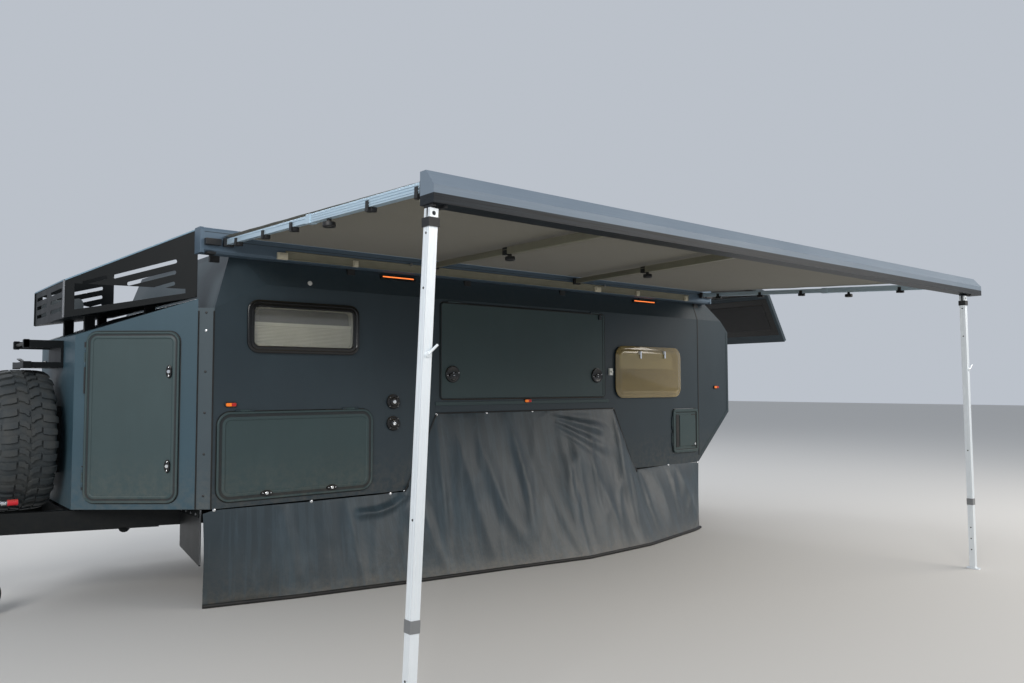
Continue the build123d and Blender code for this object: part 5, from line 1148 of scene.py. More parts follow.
heap = Heap()
heap.plate(near, 5.278, 5.306, level(1.912), level(1.952), PROUD - 0.002, 0.020)
heap.make("kitchen_catch", "gloss", "kitchen_hatch", edge=0.002)
heap = Heap()
heap.plate(near, 5.408, 5.448, level(1.432), level(1.492), -0.002, 0.016)
heap.rod([near(5.428, level(1.461), out) for out in (0.014, 0.034)], 0.007, 14)
heap.make("hold_back_catch", "white_plastic", edge=0.0015)
heap = Heap()
heap.plate(near, 3.575, 5.402, level(1.196), level(1.222), -0.002, 0.0075)
heap.make("kitchen_sill", "panel", edge=0.002)
heap = Heap()
seal_line(heap, near, KITCHEN, 0.030)
seal_line(heap, near, SERVICE, 0.040)
heap.make("hatch_seals", "seal")

heap = Heap()
service_trim = proud(0, -3, 0, 6, 5, 10, 24, 10, 29, 7, 34, 0.8)
trim_ring(heap, near, SERVICE, 0.040, service_trim, marks=[0, 0, 0, 0, 1, 1])
x0, x1, z0, z1 = SERVICE
for low_x, high_x, low_z, high_z, out, mark in (
    (x0 + 0.044, x0 + 0.088, z0 + 0.052, z1 - 0.052, 0.0035, 1),
    (x1 - 0.100, x1 - 0.040, z1 - 0.095, z1 - 0.052, 0.0035, 1),
    (x1 - 0.100, x1 - 0.040, z0 + 0.052, z0 + 0.095, 0.0035, 1),
    (x0 + 0.096, x1 - 0.050, z0 + 0.060, z1 - 0.060, 0.0060, 0),
):
    heap.plate(near, low_x, high_x, low_z, high_z, PROUD - 0.001, PROUD + out, mark)
key = near(x1 - 0.060, z0 + 0.075, PROUD + 0.004)
heap.lathe(mm(0, 11, 8, 11, 9.5, 9, 9.5, 1), key, OUT, 18, 2)
heap.make("service_hatch_trim", "panel seal chrome", "service_hatch", edge=0.0014)

# Windows

FRONT_WINDOW = (2.155, 2.935, level(1.552), level(1.886), 0.070)
REAR_WINDOW = (5.487, 6.375, level(1.235), level(1.690), 0.095)
GALLEY_WINDOW = (3.900, 5.060, level(1.400), level(1.850), 0.095)
FRONT_WINDOWS = [(near, FRONT_WINDOW), (far, FRONT_WINDOW)]
DOMED_WINDOWS = [(near, REAR_WINDOW), (far, REAR_WINDOW), (far, GALLEY_WINDOW)]
FRAME_WIDTH = 0.042
FAR_DOME_TOP = 0.0242


def shrunk(window, inset):
    x0, x1, z0, z1 = window[:4]
    return x0 + inset, x1 - inset, z0 + inset, z1 - inset


heap = Heap()
for place, window in FRONT_WINDOWS:
    rect, radius = shrunk(window, FRAME_WIDTH), window[4] - FRAME_WIDTH * 0.6
    trim_ring(heap, place, rect, radius, mm(0.6, -6, 0.6, 6, 3, 7.8), ends=(True, True))
for place, window in DOMED_WINDOWS:
    profile = mm(0, 14.5, 0, 19, 4, 21.5, 26, 22.5, 34, 25.5, 46, 31, 62, 33)
    if place is far:
        share = (FAR_DOME_TOP - 0.0190) / (0.033 - 0.0190)
        profile = [(inset, min(out, 0.0190 + (out - 0.0190) * share)) for inset, out in profile]
    trim_ring(heap, place, shrunk(window, -0.004), window[4], profile, 1, ends=(True, True))
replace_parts(heap.make("window_acrylics", "smoke bronze", angle=30), "window_panes")

frames, liners, screens = Heap(), Heap(), Heap()
FRAME_BEAD = mm(-1, 2, -1, 15, 4, 18.5, 16, 18.5, 20, 15, 24, 15, 28, 17.5, 40, 16.5, 44.5, 9)
LINER = mm(0, -8, 14, -8, 16, -12, 16, -55, -30, -58, -34, -50, -34, -37)
BLIND_FOLDS = 28
for place, window in FRONT_WINDOWS:
    trim_ring(frames, place, window[:4], window[4], FRAME_BEAD)
for place, window in FRONT_WINDOWS + DOMED_WINDOWS:
    x0, x1, z0, z1, radius = window
    trim_ring(liners, place, shrunk(window, 0.031), radius - 0.02, LINER)
    middle = z0 + (z1 - z0) * 0.52
    folds = []
    for k, z in enumerate(steps_between(z0 + 0.047, middle, BLIND_FOLDS)):
        folds.append([place(x, z, -0.030 if k % 2 else -0.024) for x in (x0 + 0.047, x1 - 0.047)])
    for low_pair, high_pair in zip(folds, folds[1:]):
        screens.add([*low_pair, *reversed(high_pair)], [(0, 1, 2, 3)], [0])
    screens.plate(place, x0 + 0.046, x1 - 0.046, middle, middle + 0.022, -0.034, -0.020)
frames.make("window_frame_beads", "gloss", angle=40)
liners.make("window_liners", "liner", angle=40)
screens.make("window_blinds", "blind", angle=12)

clips = Heap()
for x, z in ((5.784, level(1.636)), (6.118, level(1.644))):
    clips.lathe(mm(0, 17, 6, 17, 8.5, 14, 9, 2), near(x, z, 0.032), OUT, 22)
    clips.plate(near, x - 0.009, x + 0.009, z - 0.052, z + 0.012, 0.036, 0.050, 1)
clips.make("window_clips", "white_plastic chrome", edge=0.001)

# Wall fittings

BOLT = mm(0, 8, 5, 8, 6, 6, 6.2, 1)
STUDS = [(1.967, 0.594), (2.600, 0.589), (3.196, 0.588), (3.315, 0.597), (3.585, 1.132), (4.050, 1.134)]
STUDS += [(4.516, 1.136), (4.980, 1.136), (5.462, 1.136), (5.728, 0.594), (6.200, 0.600), (6.636, 0.600)]
studs = Heap()
for x, height in STUDS:
    spot = near(x, level(height), 0.001)
    studs.lathe(mm(0, 10.5, 3.5, 10.5, 6, 8.5, 7.5, 4, 7.8, 0.6), spot, OUT, 18)
studs.make("skirt_studs", "chrome")

ports = Heap()
PORT = mm(-14, 51.5, -2, 51.5, 3, 48, 3, 42, -0.5, 39, -0.5, 33, 4.5, 30, 7.5, 22, 8, 14)
for height in (1.230, 1.078):
    spot = near(3.215, level(height), 0.014)
    ports.lathe(PORT, spot, OUT, 44)
    ports.lathe(mm(7, 14, 12, 13, 13, 10.5, 12.2, 4, 11, 0.5), spot, OUT, 24, 1)
    for k in range(4):
        angle = math.pi / 4 + k * math.pi / 2
        screw = spot + Vector((math.cos(angle) * 0.045, 0, math.sin(angle) * 0.045)) + OUT * 0.003
        ports.lathe(mm(-1, 3.4, 1.2, 3.4, 1.8, 2), screw, OUT, 8, 2)
ports.make("side_port_caps", "gloss chrome steel")

lamps = Heap()
for place in (near, far):
    for x, z in ((2.057, level(1.228)), (4.466, level(1.220)), (6.944, level(1.324))):
        housing = mm(0, -1, 0, 9, 3, 11, 6.5, 11, 6.5, 4)
        trim_ring(lamps, place, (x - 0.037, x + 0.037, z - 0.015, z + 0.015), 0.010, housing)
        lamps.plate(place, x + 0.002, x + 0.0305, z - 0.0093, z + 0.0093, 0.0155, 0.0172, 1)
lamps.make("marker_housings", "seal red", edge=0.0008)

# The wall's lean above its knee: 80 mm inwards over 225 mm
KNEE, EAVES, LEAN_IN = 1.985, 2.210, 0.080
led = Heap()
lean = Vector((0, -(level(EAVES) - level(KNEE)), LEAN_IN)).normalized()
upward = Vector((0, LEAN_IN, level(EAVES) - level(KNEE))).normalized()
for x0, x1 in ((3.134, 3.415), (5.779, 6.082)):
    base = Vector((0, -HALF, level(KNEE))) + upward * ((level(2.111) - level(KNEE)) / upward.z)
    for start, end, high, out, mark in (
        (x0 - 0.006, x1 + 0.006, 0.027, 0.0145, 0),
        (x0 + 0.012, x1 - 0.012, 0.0084, 0.0162, 1),
    ):
        a = base + lean * (out / 2 - 0.001)
        led.beam((start, a.y, a.z), (end, a.y, a.z), out + 0.002, high, upward, mark)
led.make("led_lights", "seal led", edge=0.001)

# Seams, edge trims and screws of the near and far walls
seams, screws = Heap(), Heap()
for hand in (-1, 1):
    y, top_y = hand * (HALF + 0.0006), hand * (HALF - LEAN_IN + 0.0006)
    out = (0, hand, 0)
    knee = (6.666, y, level(KNEE))
    seams.beam((6.666, y, level(0.668)), knee, 0.009, 0.005, out)
    seams.beam(knee, (6.666, top_y, level(2.208)), 0.009, 0.005, (0, hand, 0.35))
    edge = [(x, y, level(z)) for x, z in ((7.128, 1.872), (7.128, 1.088), (6.690, 0.674))]
    for start, end in zip(edge, edge[1:]):
        seams.beam(start, end, 0.006, 0.004, out, 1)
    for x, half in ((1.8755, 0.9885), (1.9475, 1.0492)):
        seams.beam((x, hand * half, level(0.602)), (x, hand * half, level(1.800)), 0.007, 0.007, out)
    strip_out = Vector((-0.065, hand * 0.077, 0)).normalized()
    for height in (0.68, 0.93, 1.18, 1.43, 1.68, 1.79):
        spot = Vector((1.9115, hand * 1.0175, level(height))) + strip_out * 0.0004
        mark = 0 if height == 1.68 else 2
        screws.lathe(mm(-1, 7.5, 2.2, 7, 3.4, 4, 3, 0.8), spot, strip_out, 12, mark)
seams.make("wall_seams", "seal panel")
dot = (2.580, -HALF + LEAN_IN * (2.02 - KNEE) / (EAVES - KNEE), level(2.02))
screws.lathe(mm(0, 16, 6, 15, 8, 8, 8, 1), dot, lean, 18, 1)
screws.make("strip_screws", "chrome clear plastic")

# Awning hardware: telescopic rafters, pull strip, brackets, end caps and legs


def rafter_point(rafter, share, drop=0.0):
    """A point under the cloth, on a rafter's line from the case to the lead rail."""
    case_x, lead_x = rafter
    y = ROLLER_Y + (LEAD_Y - ROLLER_Y) * share
    z = ROLLER_Z + (LEAD_Z - ROLLER_Z) * share
    return Vector((case_x + (lead_x - case_x) * share, y, z - drop))


UNDER_CLOTH = 0.0135
TUBE_DROP = UNDER_CLOTH + 0.0215
KNOB = mm(0, 10, 12, 12, 16, 30, 34, 32, 40, 27, 41, 4)
rafters = Heap()
for index, rafter in enumerate(RAFTER_ENDS):
    outer = index in (0, 3)
    mark = 0 if outer else 1
    joint = 0.528 if outer else 0.455
    inner_start, inner_end = [rafter_point(rafter, share, TUBE_DROP) for share in (0.004, joint + 0.03)]
    rafters.beam(inner_start, inner_end, 0.027, 0.036, mark=mark)
    sleeve_start, sleeve_end = [rafter_point(rafter, share, TUBE_DROP) for share in (joint, 0.998)]
    rafters.beam(sleeve_start, sleeve_end, 0.034, 0.043, mark=mark)
    aside = Vector((0.0185 if outer and index else -0.0185, 0, 0))
    for rib in (-0.012, 0.0, 0.012):
        start = sleeve_start + aside + Vector((0, -0.02, rib))
        end = sleeve_end + aside + Vector((0, 0.004, rib))
        rafters.beam(start, end, 0.003, 0.0035, mark=mark)
    start = inner_start + aside * 0.78 + Vector((0, -0.02, 0.008))
    end = inner_end + aside * 0.78 + Vector((0, 0.03, 0.008))
    rafters.beam(start, end, 0.0025, 0.004, mark=mark)
    for share in (0.085, 0.272, 0.441, 0.797, 0.971) if outer else ():
        spot = rafter_point(rafter, share, UNDER_CLOTH + 0.050)
        ahead = (rafter_point(rafter, share + 0.01) - rafter_point(rafter, share)).normalized()
        above = spot + Vector((0, 0, 0.012))
        rafters.beam(spot - ahead * 0.028, spot + ahead * 0.028, 0.024, 0.022, mark=2)
        rafters.beam(above - ahead * 0.012, above + ahead * 0.012, 0.046, 0.046, mark=2)
    knob = rafter_point(rafter, 0.619 if outer else joint + 0.02, UNDER_CLOTH + 0.043)
    rafters.lathe(KNOB, knob, (0, 0, -1), 22, 2)
    for start, end, drop, width, height, kind in (
        (joint - 0.006, joint + 0.016, 0.0225, 0.0405, 0.046, 0 if outer else 2),
        (0.001, 0.013, 0.026, 0.060, 0.050, 2),
        (0.987, 0.999, 0.026, 0.058, 0.050, 2),
    ):
        ends = [rafter_point(rafter, share, UNDER_CLOTH + drop) for share in (start, end)]
        rafters.beam(*ends, width, height, mark=kind)
rods = rafters.make("awning_rafter_rods", "alloy_side beige plastic", edge=0.0016)
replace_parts(rods, "awning_rafters")

CASE_X = (1.843, 6.820)
CASE_OUT = 0.052
CASE_FACE = -HALF - CASE_OUT
CASE_LOW, CASE_HIGH = level(2.146), level(2.301)


def on_case(x, z, out):
    """A point on the awning case's face, out metres proud of it, z above its lower edge."""
    return Vector((x, CASE_FACE - out, CASE_LOW + z))


strip = Heap()
for z0, z1, out in ((0.004, 0.062, 0.0030), (0.004, 0.012, 0.0075), (0.054, 0.060, 0.0075)):
    strip.plate(on_case, 2.380, 6.470, z0, z1, -0.006, out)
for x in (2.355, 2.879, 3.474, 5.222, 5.736, 6.420):
    half = 0.035 if x in (2.355, 5.222) else 0.019
    strip.plate(on_case, x - half, x + half, 0.002, 0.046, -0.004, 0.014, 1)
    strip.plate(on_case, x - half + 0.006, x + half - 0.006, 0.012, 0.034, -0.004, 0.022, 1)
for x in (3.32, 5.30):
    strip.lathe(mm(0, 6, 10, 6, 12, 12, 18, 12), on_case(x, 0.058, 0.003), OUT, 14, 2)
strip.make("awning_case_strip", "beige cream steel", edge=0.0012)

case = Heap()
low_x, high_x = CASE_X
for z in (0.078, CASE_HIGH - CASE_LOW - 0.030):
    case.plate(on_case, low_x + 0.012, high_x - 0.012, z, z + 0.0035, -0.003, 0.0012)
for x0, x1 in ((low_x - 0.004, low_x + 0.020), (high_x - 0.020, high_x + 0.004)):
    loop = [(CASE_FACE - 0.002, CASE_LOW - 0.002), (CASE_FACE - 0.002, CASE_HIGH - 0.018)]
    loop += [(CASE_FACE + 0.016, CASE_HIGH + 0.002)]
    loop += [(-0.998, CASE_HIGH + 0.002), (-0.998, CASE_LOW - 0.002)]
    case.skin([[Vector((x, y, z)) for y, z in loop] for x in (x0, x1)], 1)
case.plate(on_case, low_x + 0.018, low_x + 0.112, 0.046, 0.084, 0.0, 0.034, 2)
case.plate(on_case, low_x + 0.030, low_x + 0.080, -0.010, 0.004, -0.030, 0.030, 2)
case.plate(on_case, high_x - 0.112, high_x - 0.018, 0.046, 0.084, 0.0, 0.034, 2)
for x in (1.960, 2.900, 3.900, 4.900, 5.900, 6.700):
    case.block((x - 0.030, -1.010, CASE_LOW - 0.040), (x + 0.030, -0.985, CASE_LOW + 0.004), 2)
case.make("awning_case_caps", "trim alloy_grey plastic", edge=0.0015)

LEAD_BACK, LEAD_LOW = -3.480, level(2.013)
lead = Heap()
for z0, z1, out in ((0.018, 0.028, 0.010), (0.002, 0.008, 0.006)):
    low = (low_x + 0.004, LEAD_BACK - 0.006, LEAD_LOW + z0)
    lead.block(low, (high_x - 0.004, LEAD_BACK + out, LEAD_LOW + z1))
for x in (low_x + 0.040, 6.640):
    for x0, x1 in ((x - 0.034, x - 0.018), (x + 0.034, x + 0.018)):
        lead.block((x0, -3.556, LEAD_LOW - 0.010), (x1, -3.496, LEAD_LOW + 0.010), 1)
lead.make("lead_rail_fittings", "beige plastic", edge=0.001)

LEG_PLACES = {"front": (1.863, 1.763), "rear": (6.600, 6.634)}
LEG_Y, LEG_HALF = -3.526, 0.019
LEG_HINGE_Z, SLEEVE_END = level(1.979), level(0.480)
LEG_FACE = LEG_HALF + 0.0002
for name, (hinge_x, foot_x) in LEG_PLACES.items():
    heap = Heap()

    def leg_point(z, dx=0.0, dy=0.0):
        share = (LEG_HINGE_Z - z) / (LEG_HINGE_Z - GROUND)
        return Vector((hinge_x + (foot_x - hinge_x) * share + dx, LEG_Y + dy, z))

    top, end = leg_point(LEG_HINGE_Z - 0.052), leg_point(SLEEVE_END)
    for side in (-1, 1):
        for groove in (-0.0085, 0.0085):
            shift = Vector((side * LEG_FACE, groove, 0))
            heap.beam(top + shift, end + shift, 0.0016, 0.0026, (0, 1, 0))
            shift = Vector((groove, side * LEG_FACE, 0))
            heap.beam(top + shift, end + shift, 0.0026, 0.0016, (0, 1, 0))
    collar = [leg_point(SLEEVE_END + z) for z in (-0.016, 0.030)]
    heap.beam(*collar, 0.0425, 0.0425, (0, 1, 0), 1)
    for height in (1.905, 1.700, 0.86, 0.30, 0.22, 0.14):
        pin = leg_point(level(height), -LEG_FACE)
        heap.lathe(mm(0, 4.8, 1, 4.8, 1.6, 3, 1.2, 0.6), pin, (-1, 0, 0), 14, 2)
    lever = leg_point(level(1.455), 0.0, -LEG_HALF)
    heap.lathe(mm(-2, 11, 7, 11, 8, 9, 8, 1), lever, OUT, 18)
    handle = ((0, -0.008, 0), (0.012, -0.010, 0.014), (0.036, -0.012, 0.036))
    heap.rod([lever + Vector(step) for step in handle], 0.0050)
    clamp = leg_point(LEG_HINGE_Z - 0.05, -0.024, -0.024), leg_point(LEG_HINGE_Z - 0.016, 0.024, 0.024)
    heap.block(*clamp, 2)
    heap.make(f"awning_leg_fittings_{name}", "alloy_leg steel plastic", f"awning_leg_{name}", 0.0008)

# Painted lip round each wheel opening, behind the cloth's top edge
ARCH_LINE = [(3.264, 0.601), (3.585, 1.187), (5.475, 1.187), (5.746, 0.601)]
ARCH_LIP, ARCH_MITRE = 0.075, 0.84
arch_lip = Heap()
for side in (-1, 1):
    outer, inner = [], []
    for index, (x, z) in enumerate(ARCH_LINE):
        corner = 0 < index < 3
        shift = (ARCH_LIP if index < 2 else -ARCH_LIP) * (ARCH_MITRE if corner else 1.0)
        outer.append((x, z + (0.006 if corner else 0.0)))
        inner.append((x + shift, z - (ARCH_LIP * ARCH_MITRE if corner else 0)))
    for a, b, c, d in zip(outer, inner, inner[1:], outer[1:]):
        depths = (side * (HALF + 0.0009), side * (HALF - 0.0030))
        arch_lip.skin([[Vector((x, y, level(z))) for x, z in (a, b, c, d)] for y in depths])
arch_lip.make("wheel_arch_lips", "body", edge=0.0006)

# Rear hatch: lining on its inner faces, laid out closed and then swung up with the hatch
HATCH_HINGE = Vector((6.799, 0, level(2.222)))
HATCH_OPEN = math.radians(79)
HATCH_CORNERS = [(6.799, 2.210), (7.154, 1.878), (7.154, 1.077), (6.718, 0.663)]
LINING_ENDS = [(0.120, 0.055), (0.055, 0.055), (0.055, 0.090)]
LINING_GAP = 0.0395
swing = Matrix.Rotation(HATCH_OPEN, 4, Vector((0, -1, 0)))


def hatch_half(height):
    """Half width of the hatch's inside at a height above the ground."""
    return 0.996 - LEAN_IN * max(0.0, (height - KNEE) / (EAVES - KNEE))


def swung(x, y, height):
    return HATCH_HINGE + swing @ (Vector((x, y, level(height))) - HATCH_HINGE)


lining = Heap()
for (x0, h0), (x1, h1), (start, end) in zip(HATCH_CORNERS, HATCH_CORNERS[1:], LINING_ENDS):
    length = math.hypot(x1 - x0, h1 - h0)
    run, rise = (x1 - x0) / length, (h1 - h0) / length
    for inset, depth, mark in ((0.0, 0.004, 0), (0.070, 0.0085, 1)):
        loops = []
        for out in (LINING_GAP, LINING_GAP + depth):
            loop = []
            for share, side in ((0, -1), (1, -1), (1, 1), (0, 1)):
                reach = length - end - inset if share else start + inset
                height = h0 + rise * reach - run * out
                y = side * (hatch_half(height) - 0.030 - inset)
                loop.append(swung(x0 + run * reach + rise * out, y, height))
            loops.append(loop)
        lining.skin(loops, mark)
for side in (-1, 1):
    for height in (1.120, 1.480, 1.840):
        spot = swung(7.154 - LINING_GAP - 0.004, side * 0.90, height)
        lining.lathe(mm(0, 12, 3, 12, 6, 8, 6.5, 1), spot, swing @ Vector((-1, 0, 0)), 16, 2)
lining.make("rear_hatch_lining", "gloss plastic steel", "rear_hatch", edge=0.002)

# Tail lamps on the rear bar
TAIL_X, TAIL_Y, TAIL_HALF = 6.630, 0.720, 0.130
tail_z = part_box("marker_lamps")[0].z + 0.030
tails = Heap()
for side in (-1, 1):
    y0, y1 = side * TAIL_Y - TAIL_HALF, side * TAIL_Y + TAIL_HALF
    tails.block((TAIL_X, y0 - 0.004, tail_z - 0.034), (TAIL_X + 0.010, y1 + 0.004, tail_z + 0.034))
    marks = (1, 1, 2) if side < 0 else (2, 1, 1)
    for start, end, mark in zip((0.004, 0.088, 0.176), (0.084, 0.172, 0.256), marks):
        low = (TAIL_X + 0.006, y0 + start, tail_z - 0.026)
        tails.block(low, (TAIL_X + 0.0195, y0 + end, tail_z + 0.026), mark)
tails.make("tail_lamp_lenses", "plastic red amber", edge=0.002)

# Roof: vent lids with ribs, solar frames and their feet, cable gland
ROOF = level(EAVES)
UP = (0, 0, 1)
SIDE_PAIR = (-1, 1)


roof = Heap()
VENT = mm(228, 1, 228, 6, 206, 10, 204, 50, 196, 61, 150, 66, 50, 67)
for x in (2.650, 6.350):
    lid = []
    for reach, rise in VENT:
        corners = rounded(x - reach, x + reach, -reach, reach, 0.16 * reach)
        lid.append([Vector((u, v, ROOF + rise)) for u, v in corners])
    roof.skin(lid)
    for k in range(-3, 4):
        low = (x - 0.150, k * 0.042 - 0.005, ROOF + 0.062)
        roof.block(low, (x + 0.150, k * 0.042 + 0.005, ROOF + 0.0705))
    for dx, dy in ((-0.2, -0.2), (0.2, -0.2), (-0.2, 0.2), (0.2, 0.2)):
        screw = (x + dx * 1.08, dy * 1.08, ROOF + 0.005)
        roof.lathe(mm(0, 7, 3, 7, 4, 3), screw, UP, 10, 2)
for k in (-1, 0, 1):
    x0, x1 = 4.5 + 1.04 * k - 0.5, 4.5 + 1.04 * k + 0.5
    for xa, xb, ya, yb in (
        (x0 - 0.002, x0 + 0.028, -0.752, 0.752),
        (x1 - 0.028, x1 + 0.002, -0.752, 0.752),
        (x0 + 0.028, x1 - 0.028, -0.752, -0.722),
        (x0 + 0.028, x1 - 0.028, 0.722, 0.752),
    ):
        roof.block((xa, ya, ROOF + 0.001), (xb, yb, ROOF + 0.038), 1)
    for y in (-0.775, 0.775):
        for x in (x0 + 0.15, x1 - 0.15):
            roof.block((x - 0.035, y - 0.024, ROOF + 0.0005), (x + 0.035, y + 0.024, ROOF + 0.006))
            ya, yb = sorted((y, y - math.copysign(0.020, y)))
            roof.block((x - 0.030, ya, ROOF + 0.004), (x + 0.030, yb, ROOF + 0.030))
roof.block((6.075, -0.045, ROOF + 0.0005), (6.125, 0.045, ROOF + 0.024))
roof.rod([(6.075, 0.0, ROOF + 0.012), (6.052, 0.004, ROOF + 0.010), (6.038, 0.0, ROOF + 0.014)], 0.006)
roof.make("roof_fittings", "plastic alloy steel", edge=0.0015)

# Tray: light blue beads on the top edges as painted highlights, corner posts and the rounded panel seen
# through the near opening
TRAY_FRONT, TRAY_REAR = 1.241, 1.866
tray = Heap()
for side in SIDE_PAIR:
    for start_y, start_z, end_y, end_z, width, height, mark in (
        # The first row is the painted highlight bead along each top edge.
        (0.4615, 1.9935, 0.9725, 2.3030, 0.0075, 0.0085, 0),
        (0.4625, 1.768, 0.9735, 1.892, 0.0085, 0.016, 1),
    ):
        start = (TRAY_FRONT + 0.004, side * start_y, level(start_z))
        end = (TRAY_REAR - 0.004, side * end_y, level(end_z))
        tray.beam(start, end, width, height, mark=mark)
    post = [(TRAY_FRONT - 0.002, side * 0.460, level(height)) for height in (1.762, 1.992)]
    tray.beam(*post, 0.010, 0.010, (0, 1, 0), 2 if side < 0 else 1)
# The front top edge carries the same painted highlight.
front_edge = [(TRAY_FRONT - 0.001, y, level(1.9925)) for y in (-0.458, 0.458)]
tray.beam(*front_edge, 0.0075, 0.0085)
inner = []
for depth in (0.010, 0.014):
    loop = []
    for u, v in rounded(0.04, 0.46, 0.035, 0.175, 0.055):
        share = u / 0.81
        x = TRAY_FRONT + (TRAY_REAR - TRAY_FRONT) * share + depth * 0.64
        loop.append(Vector((x, 0.460 + 0.516 * share - depth * 0.77, level(1.759 + 0.125 * share + v))))
    inner.append(loop)
tray.skin(inner, 3)
tray.make("tray_trim", "edge_blue black steel grey_panel", edge=0.0012)

# Spare carrier: end blocks, clamp, cross rod and pull handle
carrier = Heap()
for side in SIDE_PAIR:
    for x0, x1, y, half, low, high in (
        (1.078, 1.108, 0.176, 0.014, 1.584, 1.638),
        (1.076, 1.120, 0.192, 0.006, 1.456, 1.500),
    ):
        carrier.block((x0, side * y - half, level(low)), (x1, side * y + half, level(high)))
carrier.rod([(1.094, y, level(1.611)) for y in (-0.176, 0.176)], 0.0085, 14, 1)
handle = [(1.088, -0.120, 1.502), (1.070, -0.120, 1.512)]
handle += [(1.066, -0.060, 1.514), (1.088, -0.050, 1.502)]
carrier.rod([(x, y, level(height)) for x, y, height in handle], 0.0055, 12, 2)
for y in (-0.110, 0.0, 0.110):
    carrier.lathe(mm(0, 11, 6, 11, 8, 9, 8.5, 2), (1.10 + abs(y), y, level(1.496)), UP, 6, 2)
for y in (-0.105, 0.105):
    for height in (0.850, 1.160):
        carrier.lathe(mm(0, 12, 8, 12, 10, 10, 10.5, 2), (1.2835, y, level(height)), (-1, 0, 0), 6, 2)
carrier.make("spare_carrier_fittings", "black plastic steel", edge=0.0012)

# Jack: chrome crank, ribbed red grip, collars and clamp bolts
JACK_X, JACK_Y = 0.850, -0.335
CRANK_Z = level(0.650)
ALONG_X = (1, 0, 0)
jack = Heap()
jack.rod([(x, JACK_Y, CRANK_Z) for x in (0.882, 0.958)], 0.0086, 16)
ribs = [(0.0, 0.0120)]
for k in range(6):
    at = 0.003 + k * 0.0092
    ribs += [(at, 0.0180), (at + 0.0060, 0.0190), (at + 0.0075, 0.0180)]
jack.lathe(ribs + mm(58, 16, 59, 4), (0.9915, JACK_Y, CRANK_Z), ALONG_X, 24, 1)
jack.lathe(mm(0, 8.6, 0.5, 15.4, 26, 15.4, 33, 12), (0.9595, JACK_Y, CRANK_Z), ALONG_X, 24)
for height, tall in ((0.405, 16), (0.838, 20)):
    jack.lathe(mm(0, 30.5, 0, 33.5, tall, 33.5, tall, 30.5), (JACK_X, JACK_Y, level(height)), UP)
jack.lathe(mm(0, 32.5, 6, 32.5, 11, 26, 12, 4), (JACK_X, JACK_Y, level(0.858)), UP, mark=2)
for height in (0.492, 0.552):
    for x in (JACK_X - 0.016, JACK_X + 0.016):
        jack.lathe(mm(0, 8, 6, 8, 7, 6, 7.2, 1), (x, JACK_Y + 0.052, level(height)), UP, 6)
jack.make("jack_fittings", "chrome red_plastic plastic", edge=0.0008)

# Drawbar: tab below the rail, clipped conduit and safety rings
RAIL_START_X, RAIL_START_Y, RAIL_SLOPE = 0.300, 0.030, 0.3413
TAB_X, TAB_RADIUS, TAB_Z = 1.610, 0.036, level(0.463)
RING_RADIUS = 0.016


def rail_y(x):
    """Half the distance between the drawbar rails' inner faces."""
    return RAIL_START_Y + (x - RAIL_START_X) * RAIL_SLOPE


bar = Heap()
tab = []
for out in (-0.034, -0.026):
    turns = [math.pi * k / 12 for k in range(13)]
    y = -0.035 - rail_y(TAB_X) - out
    arc = [(TAB_X + TAB_RADIUS * math.cos(turn), TAB_Z - TAB_RADIUS * math.sin(turn)) for turn in turns]
    tab.append([Vector((x, y, z)) for x, z in arc])
bar.skin(tab)
for side in SIDE_PAIR:
    for x in (0.55, 0.95, 1.25, 1.75):
        y = side * rail_y(x)
        bar.block((x - 0.012, y - 0.009, level(0.4525)), (x + 0.012, y + 0.009, level(0.4625)), 1)
    path = [(x / 10, side * rail_y(x / 10), level(0.4545)) for x in range(4, 19, 2)]
    bar.rod(path, 0.0052, mark=1)
    turns = [k * math.pi / 8 for k in range(17)]
    ring = [(0.352 + RING_RADIUS * math.cos(t), level(0.452) + RING_RADIUS * math.sin(t)) for t in turns]
    bar.rod([(x, side * 0.060, z) for x, z in ring], 0.0042, 8, 2)
bar.make("drawbar_fittings", "black plastic steel", edge=0.001)

# Mud flaps: clamp strips, bolts and a bright outer edge
flaps = Heap()
for side in SIDE_PAIR:
    y0, y1 = sorted((side * 0.650, side * 0.992))
    for x0, x1 in ((1.894, 1.9005), (1.9095, 1.9155)):
        flaps.block((x0, y0, level(0.548)), (x1, y1, level(0.586)))
    for y in steps_between(y0 + 0.040, y1 - 0.040, 3):
        for x, hand in ((1.894, -1), (1.9155, 1)):
            flaps.lathe(BOLT, (x, y, level(0.567)), (hand, 0, 0), 6, 1)
    edge = [(1.905, side * 1.0005, level(height)) for height in (0.268, 0.594)]
    flaps.beam(*edge, 0.0085, 0.0016, (0, 1, 0), 1)
flaps.make("mud_flap_fittings", "black steel", edge=0.001)

# Hinges of the nose doors, on the doors' own axis
DOOR_AXIS_U, DOOR_AXIS_OUT = 0.067, 0.0065
hinges = Heap()
for side in SIDE_PAIR:
    place = nose(side)
    for low, high in ((1.300, 1.610), (0.720, 0.860)):
        pin = [place(DOOR_AXIS_U, level(height), DOOR_AXIS_OUT) for height in (low, high)]
        hinges.rod(pin, 0.0058, 12)
        for at in steps_between(low, high, 6):
            ring = [place(DOOR_AXIS_U, level(at) + step, DOOR_AXIS_OUT) for step in (-0.001, 0.001)]
            hinges.rod(ring, 0.0066, 12)
hinges.make("nose_door_hinge_pins", "plastic", angle=40)

